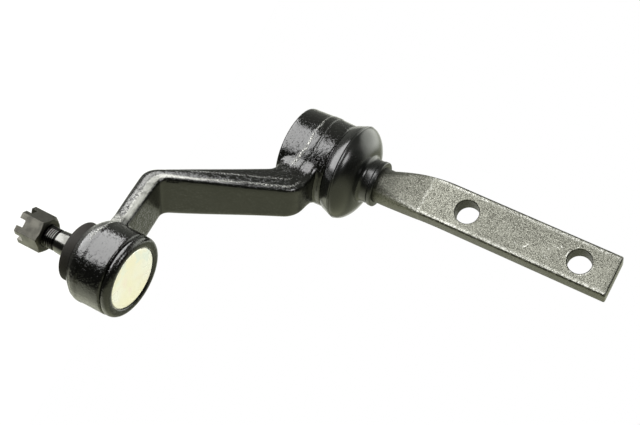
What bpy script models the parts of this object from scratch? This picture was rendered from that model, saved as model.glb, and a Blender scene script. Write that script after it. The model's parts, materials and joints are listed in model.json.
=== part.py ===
"""Steering idler arm: forged arm, ball stud end and bracket pivot end.

Metres, +Z up. +Z runs along the pivot axis from the ball stud towards the bracket's tang.
The origin is on the tang's mounting face (normal +Y), midway between its two bolt holes.
Run with: blender --background --python part.py
"""

import math

import bmesh
import bpy
from mathutils import Matrix, Vector

MM = 0.001

# Fit between pieces that touch, and facets of turned shapes
SEAT_GAP = 0.3 * MM
LARGE_STEPS = 36
SMALL_STEPS = 28
MERGE = 0.01 * MM
CUT_PAST = 2.0 * MM
BREAK_EDGE = 0.4 * MM
BORE_STEPS = 24
RING_STEPS = 8

# Bracket tang
TANG_WIDTH = 25.4 * MM
TANG_THICKNESS = 12.7 * MM
TANG_EDGE_RADIUS = 1.5 * MM
TANG_END_ROUND = 0.8 * MM
BOLT_HOLE_DIAMETER = 14.0 * MM
BOLT_SPACING = 69.0 * MM
OUTER_HOLE_TO_END = 20.4 * MM
INNER_HOLE_TO_CREASE = 26.4 * MM
FLARE_END_TO_INNER_HOLE = 12.0 * MM
CORNER_STEPS = 6
CORNER_SPREAD = 4.0
BLEND_STEPS = 10
BLEND_CURVE = 1.4

# Bracket shank and pivot shaft
PIVOT_OFFSET = 4.3 * MM
SHANK_RADIUS = 10.7 * MM
SHANK_SHOWING = 5.3 * MM
BLEND_LENGTH = 23.1 * MM
COLLAR_RADIUS = 16.0 * MM
COLLAR_HEIGHT = 4.4 * MM
JOURNAL_RADIUS = 10.0 * MM
SHAFT_THREAD_RADIUS = 7.9 * MM
SHAFT_THREAD_LENGTH = 7.7 * MM
SHAFT_END_CHAMFER = 0.8 * MM

# Arm: the two eyes and the bar between them
ARM_LENGTH = 138.9 * MM
ARM_ANGLE = math.radians(-28.7)
PIVOT_EYE_RADIUS = 26.4 * MM
PIVOT_EYE_HEIGHT = 31.4 * MM
PIVOT_EYE_DRAFT = 0.5 * MM
PIVOT_EYE_CHAMFER = 0.9 * MM
PIVOT_FLASH_MID = 17.9 * MM
FLASH_WIDTH = 5.2 * MM
FLASH_HEIGHT = 0.45 * MM
FLASH_SLOPE = 0.4 * MM
SPIGOT_RADIUS = 23.5 * MM
SPIGOT_HEIGHT = 5.2 * MM
PIVOT_BORE_RADIUS = 14.0 * MM
POCKET_RADIUS = 19.5 * MM
POCKET_DEPTH = 19.0 * MM
PLUG_SEAT_RADIUS = 21.2 * MM
PLUG_SEAT_DEPTH = 3.7 * MM
PLUG_LIP_RADIUS = 20.2 * MM
PLUG_LIP_HEIGHT = 1.1 * MM
BAR_NEAR_SIDE = (12.2 * MM, 13.3 * MM, 14.0 * MM)
BAR_FAR_SIDE = (11.0 * MM, 16.5 * MM, 17.8 * MM)
BAR_SIDE_STATIONS = (45.0 * MM, 77.0 * MM, 97.0 * MM)
BAR_DRAFT = 0.6 * MM
BAR_EDGE_RADIUS = 2.6 * MM
BAR_FLASH_WIDTH = 4.6 * MM
BAR_ROOT_FILLET = 10.0 * MM
BAR_TIP_FILLET = 8.0 * MM

# Arm: bends of the bar's two long faces; reaches run from the nearer eye's axis
ROOT_REACH = 16.0 * MM
ROOT_TOP_RISE = 27.2 * MM
ROOT_BOTTOM_RISE = 2.5 * MM
UPPER_KNEE_TOP_REACH = 43.2 * MM
UPPER_KNEE_TOP_RISE = 26.1 * MM
UPPER_KNEE_TOP_RADIUS = 13.0 * MM
UPPER_KNEE_BOTTOM_REACH = 32.0 * MM
UPPER_KNEE_BOTTOM_RISE = 3.1 * MM
UPPER_KNEE_BOTTOM_RADIUS = 6.0 * MM
LOWER_KNEE_TOP_REACH = 60.5 * MM
LOWER_KNEE_TOP_RISE = -7.5 * MM
LOWER_KNEE_TOP_RADIUS = 5.0 * MM
LOWER_KNEE_BOTTOM_REACH = 63.4 * MM
LOWER_KNEE_BOTTOM_RISE = -21.1 * MM
LOWER_KNEE_BOTTOM_RADIUS = 10.0 * MM
TIP_REACH = 13.9 * MM
TIP_TOP_RISE = 0.6 * MM
TIP_BOTTOM_RISE = -10.4 * MM
KNEE_STEPS = 6
EDGE_STEPS = 3
TIP_STATIONS = (0.0, 0.08, 0.1, 0.13, 0.17, 0.22, 0.63)
ROOT_STATIONS = (0.17, 0.3, 0.42, 0.53, 0.62, 0.67, 1.0)

# Ball end; heights are measured from the centre of the ball
BALL_DROP = 35.9 * MM
BALL_RADIUS = 11.5 * MM
BALL_TOP_FLAT = 4.0 * MM
HOUSING_RADIUS = 23.9 * MM
HOUSING_FLASH_MID = -4.6 * MM
HOUSING_BACK = -11.8 * MM
HOUSING_BACK_RADIUS = 19.4 * MM
HOUSING_BACK_STEP = 1.1 * MM
HOUSING_BACK_CURVE = 1.3
HOUSING_BACK_STEPS = 4
HOUSING_THROAT_RADIUS = 12.8 * MM
THROAT_WAIST_RADIUS = 10.6 * MM
THROAT_WAIST_DEPTH = 1.5 * MM
CAVITY_RADIUS = 15.5 * MM
CAVITY_FLOOR = -7.5 * MM
PLATE_SEAT_RADIUS = 20.8 * MM
PLATE_SEAT = 15.1 * MM
LIP_GROOVE = 14.6 * MM
LIP_GROOVE_DEPTH = 0.5 * MM
LIP_UNDERSIDE = 17.2 * MM
LIP_INNER_RADIUS = 18.4 * MM
LIP_CREST_RADIUS = 20.4 * MM
LIP_TOP = 18.6 * MM
LIP_INNER_DROP = 0.4 * MM
LIP_STEPS = 3
PLATE_FACE = 18.0 * MM
PLATE_FACE_RADIUS = 17.9 * MM
PLATE_THICKNESS = 1.6 * MM
PLATE_RIM_TOP = 16.9 * MM

# Ball stud and its nut
NECK_RADIUS = 6.8 * MM
NECK_FLARE = 3.5 * MM
BALL_STEPS = 10
TAPER_TOP = -16.5 * MM
TAPER_TOP_RADIUS = 7.5 * MM
TAPER_BOTTOM = -33.4 * MM
THREAD_RADIUS = 6.35 * MM
THREAD_CORE_RADIUS = 5.6 * MM
STUD_TIP = -50.6 * MM
STUD_TIP_CHAMFER = 0.9 * MM
SEAT_STEPS = 6
COTTER_HOLE_RADIUS = 1.8 * MM
COTTER_HOLE_TO_TIP = 4.6 * MM
NUT_ACROSS_FLATS = 19.05 * MM
NUT_HEIGHT = 15.6 * MM
NUT_SEAT = -39.4 * MM
NUT_SLOT_WIDTH = 4.4 * MM
NUT_SLOT_DEPTH = 4.0 * MM
NUT_CHAMFER_SLOPE = 0.55
NUT_TURN = math.radians(8.0)

# Ball seats, spring and dust seal
SEAT_CLEARANCE = 0.3 * MM
LOWER_SEAT_TOP = 0.1 * MM
UPPER_SEAT_BOTTOM = 0.5 * MM
UPPER_SEAT_SHOULDER = 9.4 * MM
UPPER_SEAT_TOP = 12.9 * MM
UPPER_SEAT_BOSS_RADIUS = 11.0 * MM
SPRING_WIRE = 1.4 * MM
SPRING_TURNS = 2.0
SPRING_OUTER_RADIUS = 9.6 * MM
SPRING_INNER_RADIUS = 5.2 * MM
SPRING_POINTS_PER_TURN = 12
SEAL_RADIUS = 17.4 * MM
SEAL_HEIGHT = 9.7 * MM
SEAL_WALL = 2.2 * MM
SEAL_STRAIGHT = 5.9 * MM
SEAL_LIP = 0.4 * MM
SEAL_CURVE = 1.3
SEAL_STEPS = 6

# Pivot bushes, washers, springs, nut and plug; heights are from the eye's closed end
LOWER_BUSH_HEIGHT = 6.9 * MM
THRUST_WASHER_THICKNESS = 1.5 * MM
THRUST_WASHER_RADIUS = 18.0 * MM
DISC_SPRING_RADIUS = 17.0 * MM
DISC_SPRING_THICKNESS = 1.2 * MM
DISC_SPRING_CONE = 0.8 * MM
NUT_WASHER_THICKNESS = 1.5 * MM
NUT_WASHER_RADIUS = 15.5 * MM
SHAFT_NUT_ACROSS_FLATS = 24.0 * MM
SHAFT_NUT_HEIGHT = 5.2 * MM
PLUG_THICKNESS = 1.9 * MM
PLUG_DOME = 0.5 * MM

# Rubber boot over the open end of the pivot
BOOT_HEIGHT = 26.4 * MM
BOOT_BAND_RADIUS = 26.7 * MM
BOOT_RIDGE_RADIUS = 29.3 * MM
BOOT_RIDGE_HEIGHT = 7.6 * MM
BOOT_NECK_RADIUS = 13.5 * MM
BOOT_LIP_RADIUS = 13.9 * MM
BOOT_LIP_BORE = 11.2 * MM
BOOT_WALL = 2.2 * MM
BOOT_RIDGE_STEP = 0.3 * MM
BOOT_NECK_LENGTH = 9.1 * MM
BOOT_NECK_FILLET = 2.0 * MM
BOOT_LIP_LENGTH = 1.7 * MM
BELL_CURVE = 1.6
BELL_STEPS = 8

# Places that follow from the sizes above
INNER_HOLE_Z = -BOLT_SPACING / 2
OUTER_HOLE_Z = BOLT_SPACING / 2
CREASE_Z = INNER_HOLE_Z - INNER_HOLE_TO_CREASE
BLEND_START_Z = CREASE_Z - BLEND_LENGTH
BOOT_TOP_Z = BLEND_START_Z - SHANK_SHOWING
EYE_Z = BOOT_TOP_Z - BOOT_HEIGHT - PIVOT_EYE_HEIGHT
PIVOT_Y = -TANG_THICKNESS / 2
SPIGOT_TOP = PIVOT_EYE_HEIGHT + SPIGOT_HEIGHT
COLLAR_BOTTOM = SPIGOT_TOP + THRUST_WASHER_THICKNESS + 2 * SEAT_GAP
LOWER_THRUST_BOTTOM = POCKET_DEPTH - SEAT_GAP - THRUST_WASHER_THICKNESS
DISC_SPRING_HEIGHT = DISC_SPRING_THICKNESS + DISC_SPRING_CONE
UPPER_DISC_BOTTOM = LOWER_THRUST_BOTTOM - SEAT_GAP - DISC_SPRING_HEIGHT
LOWER_DISC_BOTTOM = UPPER_DISC_BOTTOM - SEAT_GAP - DISC_SPRING_HEIGHT
NUT_WASHER_TOP = LOWER_DISC_BOTTOM - SEAT_GAP
CIRCLE_SPAN = 90.0 * CORNER_STEPS / (CORNER_STEPS + 1)


# Finishes: name, base colour, metallic, roughness
FINISHES = {
    "black_paint": ((0.018, 0.018, 0.017), 0.0, 0.22),
    "forged_steel": ((0.26, 0.265, 0.235), 0.85, 0.5),
    "boot_rubber": ((0.022, 0.023, 0.022), 0.0, 0.38),
    "seal_rubber": ((0.05, 0.045, 0.036), 0.0, 0.75),
    "zinc_plate": ((0.83, 0.77, 0.6), 0.7, 0.32),
    "phosphate": ((0.09, 0.088, 0.075), 0.6, 0.5),
    "ground_steel": ((0.55, 0.55, 0.54), 1.0, 0.25),
    "seat_polymer": ((0.75, 0.72, 0.62), 0.0, 0.45),
    "spring_steel": ((0.2, 0.2, 0.21), 0.9, 0.4),
}


def clear_scene():
    """Remove every object, so that the script can be run again."""
    for obj in list(bpy.data.objects):
        bpy.data.objects.remove(obj, do_unlink=True)


def collection(name):
    """Return a new collection linked to the scene."""
    group = bpy.data.collections.new(name)
    bpy.context.scene.collection.children.link(group)
    return group


def material(name, finish):
    """Return a new material with the colour, metallic value and roughness of a finish."""
    colour, metallic, roughness = FINISHES[finish]
    mat = bpy.data.materials.new(name)
    mat.use_nodes = True
    shader = mat.node_tree.nodes["Principled BSDF"]
    shader.inputs["Base Color"].default_value = (*colour, 1.0)
    shader.inputs["Metallic"].default_value = metallic
    shader.inputs["Roughness"].default_value = roughness
    mat.diffuse_color = (*colour, 1.0)
    return mat


def empty(name, location, parent=None, turn=0.0):
    """Return an empty that carries pieces at a place on an axis."""
    obj = bpy.data.objects.new(name, None)
    obj.location = location
    obj.rotation_euler = (0.0, 0.0, turn)
    obj.parent = parent
    obj.empty_display_size = 0.02
    PARTS.objects.link(obj)
    return obj


def place(obj, parent, finish, cutter=False):
    """Link an object to its collection, parent it and give it its finish."""
    obj.parent = parent
    if cutter:
        obj.hide_render = True
        obj.display_type = "WIRE"
        CUTTERS.objects.link(obj)
    else:
        obj.data.materials.append(material(obj.name, finish))
        PARTS.objects.link(obj)
    return obj


def smooth(mesh):
    """Shade a mesh smooth but for its sharp edges."""
    mesh.shade_smooth()
    mesh.set_sharp_from_angle(angle=math.radians(35.0))


def turned(name, profile, parent, finish=None, steps=SMALL_STEPS, ring=False):
    """Turn a profile of (radius, height) points about the parent's Z axis.

    The profile runs down the outer side. A ring's profile is closed by its last point.
    """
    mesh = bpy.data.meshes.new(name)
    edges = [(i, i + 1) for i in range(len(profile) - 1)]
    if ring:
        edges.append((len(profile) - 1, 0))
    mesh.from_pydata([(r, 0.0, z) for r, z in profile], edges, [])
    obj = place(bpy.data.objects.new(name, mesh), parent, finish, cutter=finish is None)
    screw = obj.modifiers.new("turn", "SCREW")
    screw.axis = "Z"
    screw.angle = math.tau
    screw.steps = steps
    screw.render_steps = steps
    screw.use_merge_vertices = True
    screw.merge_threshold = MERGE
    screw.use_smooth_shade = True
    return obj


def cut(obj, cutter, operation="DIFFERENCE"):
    """Add a Boolean to an object."""
    modifier = obj.modifiers.new(cutter.name, "BOOLEAN")
    modifier.operation = operation
    modifier.solver = "EXACT"
    modifier.object = cutter


def loft(name, sections, parent, finish):
    """Join like-numbered closed sections into one closed solid."""
    mesh = bpy.data.meshes.new(name)
    bm = bmesh.new()
    rings = [[bm.verts.new(point) for point in section] for section in sections]
    count = len(rings[0])
    for lower, upper in zip(rings, rings[1:]):
        for i in range(count):
            j = (i + 1) % count
            bm.faces.new((lower[i], lower[j], upper[j], upper[i]))
    bm.faces.new(list(reversed(rings[0])))
    bm.faces.new(rings[-1])
    bmesh.ops.recalc_face_normals(bm, faces=bm.faces)
    bm.to_mesh(mesh)
    bm.free()
    smooth(mesh)
    return place(bpy.data.objects.new(name, mesh), parent, finish)


def rod(name, radius, length, parent, location, rotation, steps=SMALL_STEPS):
    """Return a cylinder cutter centred on a place."""
    mesh = bpy.data.meshes.new(name)
    bm = bmesh.new()
    bmesh.ops.create_cone(bm, cap_ends=True, segments=steps, radius1=radius, radius2=radius, depth=length)
    bm.to_mesh(mesh)
    bm.free()
    obj = place(bpy.data.objects.new(name, mesh), parent, None, cutter=True)
    obj.location = location
    obj.rotation_euler = rotation
    return obj


def arc(centre, radii, start, end, count):
    """Return count + 1 points of an elliptical arc, angles in degrees."""
    points = []
    for i in range(count + 1):
        angle = math.radians(start + (end - start) * i / count)
        points.append((centre[0] + radii[0] * math.cos(angle), centre[1] + radii[1] * math.sin(angle)))
    return points


def bell(wide, top, foot, narrow, curve, count):
    """Return the points of a bell's side, from its wide foot to its narrow top."""
    points = []
    for i in range(count + 1):
        angle = math.pi / 2 * i / count
        across = math.cos(angle) ** (2 / curve) if i < count else 0.0
        rise = math.sin(angle) ** (2 / curve)
        points.append((narrow + (wide - narrow) * across, foot + (top - foot) * rise))
    return points


def rounded_corner(before, corner, after, radius, count):
    """Return the arc of count + 1 points that rounds one corner of an outline."""
    a = (Vector(before) - Vector(corner)).normalized()
    b = (Vector(after) - Vector(corner)).normalized()
    half = a.angle(b) / 2
    centre = Vector(corner) + (a + b).normalized() * radius / math.sin(half)
    first = Vector(corner) + a * radius / math.tan(half) - centre
    last = Vector(corner) + b * radius / math.tan(half) - centre
    turn = first.angle_signed(last)
    return [centre + Matrix.Rotation(-turn * i / count, 2) @ first for i in range(count + 1)]


def bar_edge(tip, lower_knee, upper_knee, root, lower_radius, upper_radius):
    """Return one long edge of the bar's side view, from the ball eye to the pivot eye."""
    lower = rounded_corner(tip, lower_knee, upper_knee, lower_radius, KNEE_STEPS)
    upper = rounded_corner(lower_knee, upper_knee, root, upper_radius, KNEE_STEPS)
    points = [Vector(tip).lerp(lower[0], f) for f in TIP_STATIONS]
    points += lower
    points.append(lower[-1].lerp(upper[0], 0.5))
    points += upper
    points += [upper[-1].lerp(Vector(root), f) for f in ROOT_STATIONS]
    return points


def flared_width(distance, eye_radius, half_width, fillet):
    """Return the bar's half width near an eye, where a fillet leads into the eye's wall."""
    side = half_width + fillet
    reach = eye_radius + fillet
    along = math.sqrt(reach * reach - side * side)
    if distance >= along:
        return half_width
    if distance <= along * eye_radius / reach:
        return side * eye_radius / reach
    return side - math.sqrt(fillet * fillet - (along - distance) ** 2)


def side_width(reach, widths):
    """Return the bar's half width on one side, between the named stations along the arm."""
    stations = BAR_SIDE_STATIONS
    if reach <= stations[1]:
        share = max(0.0, (reach - stations[0]) / (stations[1] - stations[0]))
        return widths[0] + (widths[1] - widths[0]) * share
    share = min(1.0, (reach - stations[1]) / (stations[2] - stations[1]))
    return widths[1] + (widths[2] - widths[1]) * share


def bar_side(height, half_width, flash_rise):
    """Return one side of a cross-section, top to bottom: rounded edges, draft and the dies' flash."""
    radius = BAR_EDGE_RADIUS
    face = half_width - BAR_DRAFT
    flash = BAR_FLASH_WIDTH / 2
    outer = half_width + FLASH_HEIGHT
    side = arc((face - radius, height - radius), (radius, radius), 90.0, 0.0, EDGE_STEPS)
    side += [(half_width, flash + FLASH_SLOPE + flash_rise), (outer, flash + flash_rise)]
    side += [(outer, flash_rise - flash), (half_width, flash_rise - flash - FLASH_SLOPE)]
    side += arc((face - radius, radius - height), (radius, radius), 0.0, -90.0, EDGE_STEPS)
    return side


def bar_section(top, bottom, near, far, flash_rise):
    """Return one cross-section of the bar, near is its half width at -Y and far at +Y."""
    middle = (top + bottom) / 2
    up = (top - bottom) / 2
    height = up.length
    up.normalize()
    ring = bar_side(height, far, flash_rise)
    ring += [(-across, rise) for across, rise in reversed(bar_side(height, near, flash_rise))]
    return [(middle.x + up.x * rise, across, middle.y + up.y * rise) for across, rise in ring]


def bar_sections():
    """Return the sections of the dropped bar, from inside the ball eye to inside the pivot eye."""
    top = bar_edge((ARM_LENGTH - TIP_REACH, TIP_TOP_RISE - BALL_DROP),
                   (ARM_LENGTH - LOWER_KNEE_TOP_REACH, LOWER_KNEE_TOP_RISE - BALL_DROP),
                   (UPPER_KNEE_TOP_REACH, UPPER_KNEE_TOP_RISE),
                   (ROOT_REACH, ROOT_TOP_RISE),
                   LOWER_KNEE_TOP_RADIUS, UPPER_KNEE_TOP_RADIUS)
    bottom = bar_edge((ARM_LENGTH - TIP_REACH, TIP_BOTTOM_RISE - BALL_DROP),
                      (ARM_LENGTH - LOWER_KNEE_BOTTOM_REACH, LOWER_KNEE_BOTTOM_RISE - BALL_DROP),
                      (UPPER_KNEE_BOTTOM_REACH, UPPER_KNEE_BOTTOM_RISE),
                      (ROOT_REACH, ROOT_BOTTOM_RISE),
                      LOWER_KNEE_BOTTOM_RADIUS, UPPER_KNEE_BOTTOM_RADIUS)
    flash_lift = PIVOT_FLASH_MID - (ROOT_TOP_RISE + ROOT_BOTTOM_RISE) / 2
    sections = []
    for upper, lower in zip(top, bottom):
        reach = (upper.x + lower.x) / 2
        sides = []
        for widths in (BAR_NEAR_SIDE, BAR_FAR_SIDE):
            width = side_width(reach, widths)
            sides.append(max(flared_width(reach, PIVOT_EYE_RADIUS, width, BAR_ROOT_FILLET),
                             flared_width(ARM_LENGTH - reach, HOUSING_RADIUS, width, BAR_TIP_FILLET)))
        near_root = max(0.0, 1.0 - (reach - ROOT_REACH) / UPPER_KNEE_TOP_REACH)
        sections.append(bar_section(upper, lower, sides[0], sides[1], flash_lift * near_root))
    return sections


def pivot_eye_form(parent):
    """Outer form of the pivot eye, with its flash ring, chamfer and the spigot for the boot."""
    radius = PIVOT_EYE_RADIUS
    flash = FLASH_WIDTH / 2
    profile = [
        (0.0, SPIGOT_TOP),
        (SPIGOT_RADIUS - BREAK_EDGE, SPIGOT_TOP),
        (SPIGOT_RADIUS, SPIGOT_TOP - BREAK_EDGE),
        (SPIGOT_RADIUS, PIVOT_EYE_HEIGHT),
        (radius - PIVOT_EYE_DRAFT - BREAK_EDGE, PIVOT_EYE_HEIGHT),
        (radius - PIVOT_EYE_DRAFT, PIVOT_EYE_HEIGHT - BREAK_EDGE),
        (radius, PIVOT_FLASH_MID + flash + FLASH_SLOPE),
        (radius + FLASH_HEIGHT, PIVOT_FLASH_MID + flash),
        (radius + FLASH_HEIGHT, PIVOT_FLASH_MID - flash),
        (radius, PIVOT_FLASH_MID - flash - FLASH_SLOPE),
        (radius - PIVOT_EYE_DRAFT / 2, PIVOT_EYE_CHAMFER),
        (radius - PIVOT_EYE_DRAFT / 2 - PIVOT_EYE_CHAMFER / 4, PIVOT_EYE_CHAMFER / 3),
        (radius - PIVOT_EYE_DRAFT - PIVOT_EYE_CHAMFER / 2, 0.0),
        (0.0, 0.0),
    ]
    return turned("pivot_eye_form", profile, parent, steps=LARGE_STEPS)


def pivot_bore_form(parent):
    """Everything bored out of the pivot eye: bush bore, spring pocket and plug seat."""
    profile = [
        (0.0, SPIGOT_TOP + CUT_PAST),
        (PIVOT_BORE_RADIUS, SPIGOT_TOP + CUT_PAST),
        (PIVOT_BORE_RADIUS, POCKET_DEPTH),
        (POCKET_RADIUS, POCKET_DEPTH),
        (POCKET_RADIUS, PLUG_SEAT_DEPTH),
        (PLUG_SEAT_RADIUS, PLUG_SEAT_DEPTH),
        (PLUG_SEAT_RADIUS, PLUG_LIP_HEIGHT),
        (PLUG_LIP_RADIUS, PLUG_LIP_HEIGHT - BREAK_EDGE),
        (PLUG_LIP_RADIUS, -CUT_PAST),
        (0.0, -CUT_PAST),
    ]
    return turned("pivot_bore_form", profile, parent, steps=LARGE_STEPS)


def ball_eye_form(parent):
    """Outer form of the ball housing: crimped lip, groove, flash ring and tapered back."""
    radius = HOUSING_RADIUS
    flash = FLASH_WIDTH / 2
    lip_foot = LIP_GROOVE + LIP_GROOVE_DEPTH
    inner_edge = LIP_TOP - LIP_INNER_DROP
    profile = [(0.0, inner_edge)]
    profile += arc((LIP_CREST_RADIUS, inner_edge), (LIP_CREST_RADIUS - LIP_INNER_RADIUS, LIP_INNER_DROP),
                   180.0, 90.0, LIP_STEPS)[:-1]
    profile += arc((LIP_CREST_RADIUS, lip_foot),
                   (radius - LIP_GROOVE_DEPTH - LIP_CREST_RADIUS, LIP_TOP - lip_foot), 90.0, 0.0, LIP_STEPS)
    profile += [
        (radius - 2 * LIP_GROOVE_DEPTH, LIP_GROOVE),
        (radius - LIP_GROOVE_DEPTH / 2, LIP_GROOVE - LIP_GROOVE_DEPTH),
        (radius, LIP_GROOVE - 3 * LIP_GROOVE_DEPTH),
        (radius, HOUSING_FLASH_MID + flash + FLASH_SLOPE),
        (radius + FLASH_HEIGHT, HOUSING_FLASH_MID + flash),
        (radius + FLASH_HEIGHT - HOUSING_BACK_STEP / 2, HOUSING_FLASH_MID - flash),
    ]
    shoulder = HOUSING_FLASH_MID - flash - FLASH_SLOPE
    wide = radius - HOUSING_BACK_STEP
    for i in range(HOUSING_BACK_STEPS + 1):
        share = i / HOUSING_BACK_STEPS
        profile.append((wide - (wide - HOUSING_BACK_RADIUS) * share ** HOUSING_BACK_CURVE,
                        shoulder + (HOUSING_BACK - shoulder) * share))
    profile.append((0.0, HOUSING_BACK))
    return turned("ball_eye_form", profile, parent, steps=LARGE_STEPS)


def ball_bore_form(parent):
    """Everything bored out of the ball housing: plate seat, cavity and flared throat."""
    waist = CAVITY_FLOOR - THROAT_WAIST_DEPTH
    profile = [
        (0.0, LIP_TOP + CUT_PAST),
        (LIP_INNER_RADIUS, LIP_TOP + CUT_PAST),
        (LIP_INNER_RADIUS, LIP_UNDERSIDE),
        (PLATE_SEAT_RADIUS, LIP_UNDERSIDE),
        (PLATE_SEAT_RADIUS, PLATE_SEAT),
        (CAVITY_RADIUS, PLATE_SEAT),
        (CAVITY_RADIUS, CAVITY_FLOOR),
        (THROAT_WAIST_RADIUS, CAVITY_FLOOR),
        (THROAT_WAIST_RADIUS, waist),
        (HOUSING_THROAT_RADIUS, HOUSING_BACK),
        (HOUSING_THROAT_RADIUS, HOUSING_BACK - CUT_PAST),
        (0.0, HOUSING_BACK - CUT_PAST),
    ]
    return turned("ball_bore_form", profile, parent, steps=LARGE_STEPS)


def build_arm(arm_frame, ball_frame):
    """Forged arm: the dropped bar with its two eyes, bored."""
    arm = loft("idler_arm", bar_sections(), arm_frame, "black_paint")
    cut(arm, pivot_eye_form(arm_frame), "UNION")
    cut(arm, ball_eye_form(ball_frame), "UNION")
    cut(arm, pivot_bore_form(arm_frame))
    cut(arm, ball_bore_form(ball_frame))


def taper_radius(height):
    """Return the radius of the stud's taper at a height below the ball's centre."""
    share = (height - TAPER_TOP) / (TAPER_BOTTOM - TAPER_TOP)
    return TAPER_TOP_RADIUS + (THREAD_RADIUS - TAPER_TOP_RADIUS) * share


def build_stud(ball_frame):
    """Ball, neck, taper and threaded end, with the cross hole for a split pin."""
    neck_angle = -math.degrees(math.acos(NECK_RADIUS / BALL_RADIUS))
    top_angle = math.degrees(math.acos(BALL_TOP_FLAT / BALL_RADIUS))
    profile = [(0.0, BALL_RADIUS * math.sin(math.radians(top_angle)))]
    profile += arc((0.0, 0.0), (BALL_RADIUS, BALL_RADIUS), top_angle, neck_angle, BALL_STEPS)
    profile += [
        (NECK_RADIUS, TAPER_TOP + NECK_FLARE),
        (TAPER_TOP_RADIUS, TAPER_TOP),
        (THREAD_RADIUS, TAPER_BOTTOM),
        (THREAD_CORE_RADIUS, TAPER_BOTTOM - BREAK_EDGE),
        (THREAD_CORE_RADIUS, TAPER_BOTTOM - 2 * BREAK_EDGE),
        (THREAD_RADIUS, TAPER_BOTTOM - 3 * BREAK_EDGE),
        (THREAD_RADIUS, STUD_TIP + STUD_TIP_CHAMFER),
        (THREAD_RADIUS - STUD_TIP_CHAMFER, STUD_TIP),
        (0.0, STUD_TIP),
    ]
    stud = turned("ball_stud", profile, ball_frame, "ground_steel")
    hole = rod("split_pin_hole_form", COTTER_HOLE_RADIUS, 4 * THREAD_RADIUS, ball_frame,
               (0.0, 0.0, STUD_TIP + COTTER_HOLE_TO_TIP), (0.0, math.pi / 2, NUT_TURN), steps=BORE_STEPS)
    cut(stud, hole)


def build_castle_nut(ball_frame):
    """Slotted hexagon nut: chamfered bearing end, six slots at the far end."""
    corner = NUT_ACROSS_FLATS / 2 / math.cos(math.pi / 6)
    mesh = bpy.data.meshes.new("castle_nut")
    bm = bmesh.new()
    bmesh.ops.create_cone(bm, cap_ends=True, segments=6, radius1=corner, radius2=corner, depth=NUT_HEIGHT)
    bm.to_mesh(mesh)
    bm.free()
    nut = place(bpy.data.objects.new("castle_nut", mesh), ball_frame, "phosphate")
    nut.location = (0.0, 0.0, NUT_SEAT - NUT_HEIGHT / 2)
    nut.rotation_euler = (0.0, 0.0, NUT_TURN)
    seat_radius = NUT_ACROSS_FLATS / 2 - BREAK_EDGE
    end = NUT_SEAT - NUT_HEIGHT
    crown = corner - seat_radius
    chamfer = turned("nut_chamfer_form", [
        (0.0, NUT_SEAT + CUT_PAST),
        (seat_radius - CUT_PAST / NUT_CHAMFER_SLOPE, NUT_SEAT + CUT_PAST),
        (seat_radius + 2 * crown, NUT_SEAT - 2 * crown * NUT_CHAMFER_SLOPE),
        (seat_radius + 2 * crown, end - CUT_PAST),
        (0.0, end - CUT_PAST),
    ], ball_frame)
    cut(nut, chamfer, "INTERSECT")
    for i in range(3):
        slot_mesh = bpy.data.meshes.new("slot_form_%d" % i)
        bm = bmesh.new()
        bmesh.ops.create_cube(bm, size=1.0)
        bmesh.ops.scale(bm, verts=bm.verts, vec=(4 * corner, NUT_SLOT_WIDTH, 2 * NUT_SLOT_DEPTH))
        bm.to_mesh(slot_mesh)
        bm.free()
        slot = place(bpy.data.objects.new("slot_form_%d" % i, slot_mesh), ball_frame, None, cutter=True)
        slot.location = (0.0, 0.0, end)
        slot.rotation_euler = (0.0, 0.0, NUT_TURN + i * math.pi / 3)
        cut(nut, slot)
    bore = rod("nut_bore_form", THREAD_RADIUS + SEAT_GAP, 2 * NUT_HEIGHT, ball_frame,
               (0.0, 0.0, NUT_SEAT - NUT_HEIGHT / 2), (0.0, 0.0, 0.0))
    cut(nut, bore)


def build_ball_seats(ball_frame):
    """Lower seat ring and upper pressure seat, both hollowed to the ball."""
    hollow = BALL_RADIUS + SEAT_CLEARANCE
    outer = CAVITY_RADIUS - SEAT_GAP
    floor = CAVITY_FLOOR + SEAT_GAP
    mouth = math.degrees(math.asin(floor / hollow))
    start = math.degrees(math.asin(LOWER_SEAT_TOP / hollow))
    lower = [(outer, LOWER_SEAT_TOP), (outer, floor)]
    lower += arc((0.0, 0.0), (hollow, hollow), mouth, start, SEAT_STEPS)
    turned("lower_ball_seat", lower, ball_frame, "seat_polymer", ring=True)
    start = math.degrees(math.asin(UPPER_SEAT_BOTTOM / hollow))
    top = math.degrees(math.acos(BALL_TOP_FLAT / hollow))
    upper = [
        (BALL_TOP_FLAT, UPPER_SEAT_TOP),
        (UPPER_SEAT_BOSS_RADIUS, UPPER_SEAT_TOP),
        (outer, UPPER_SEAT_SHOULDER),
        (outer, UPPER_SEAT_BOTTOM),
    ]
    upper += arc((0.0, 0.0), (hollow, hollow), start, top, SEAT_STEPS)
    turned("pressure_seat", upper, ball_frame, "seat_polymer", ring=True)


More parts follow.
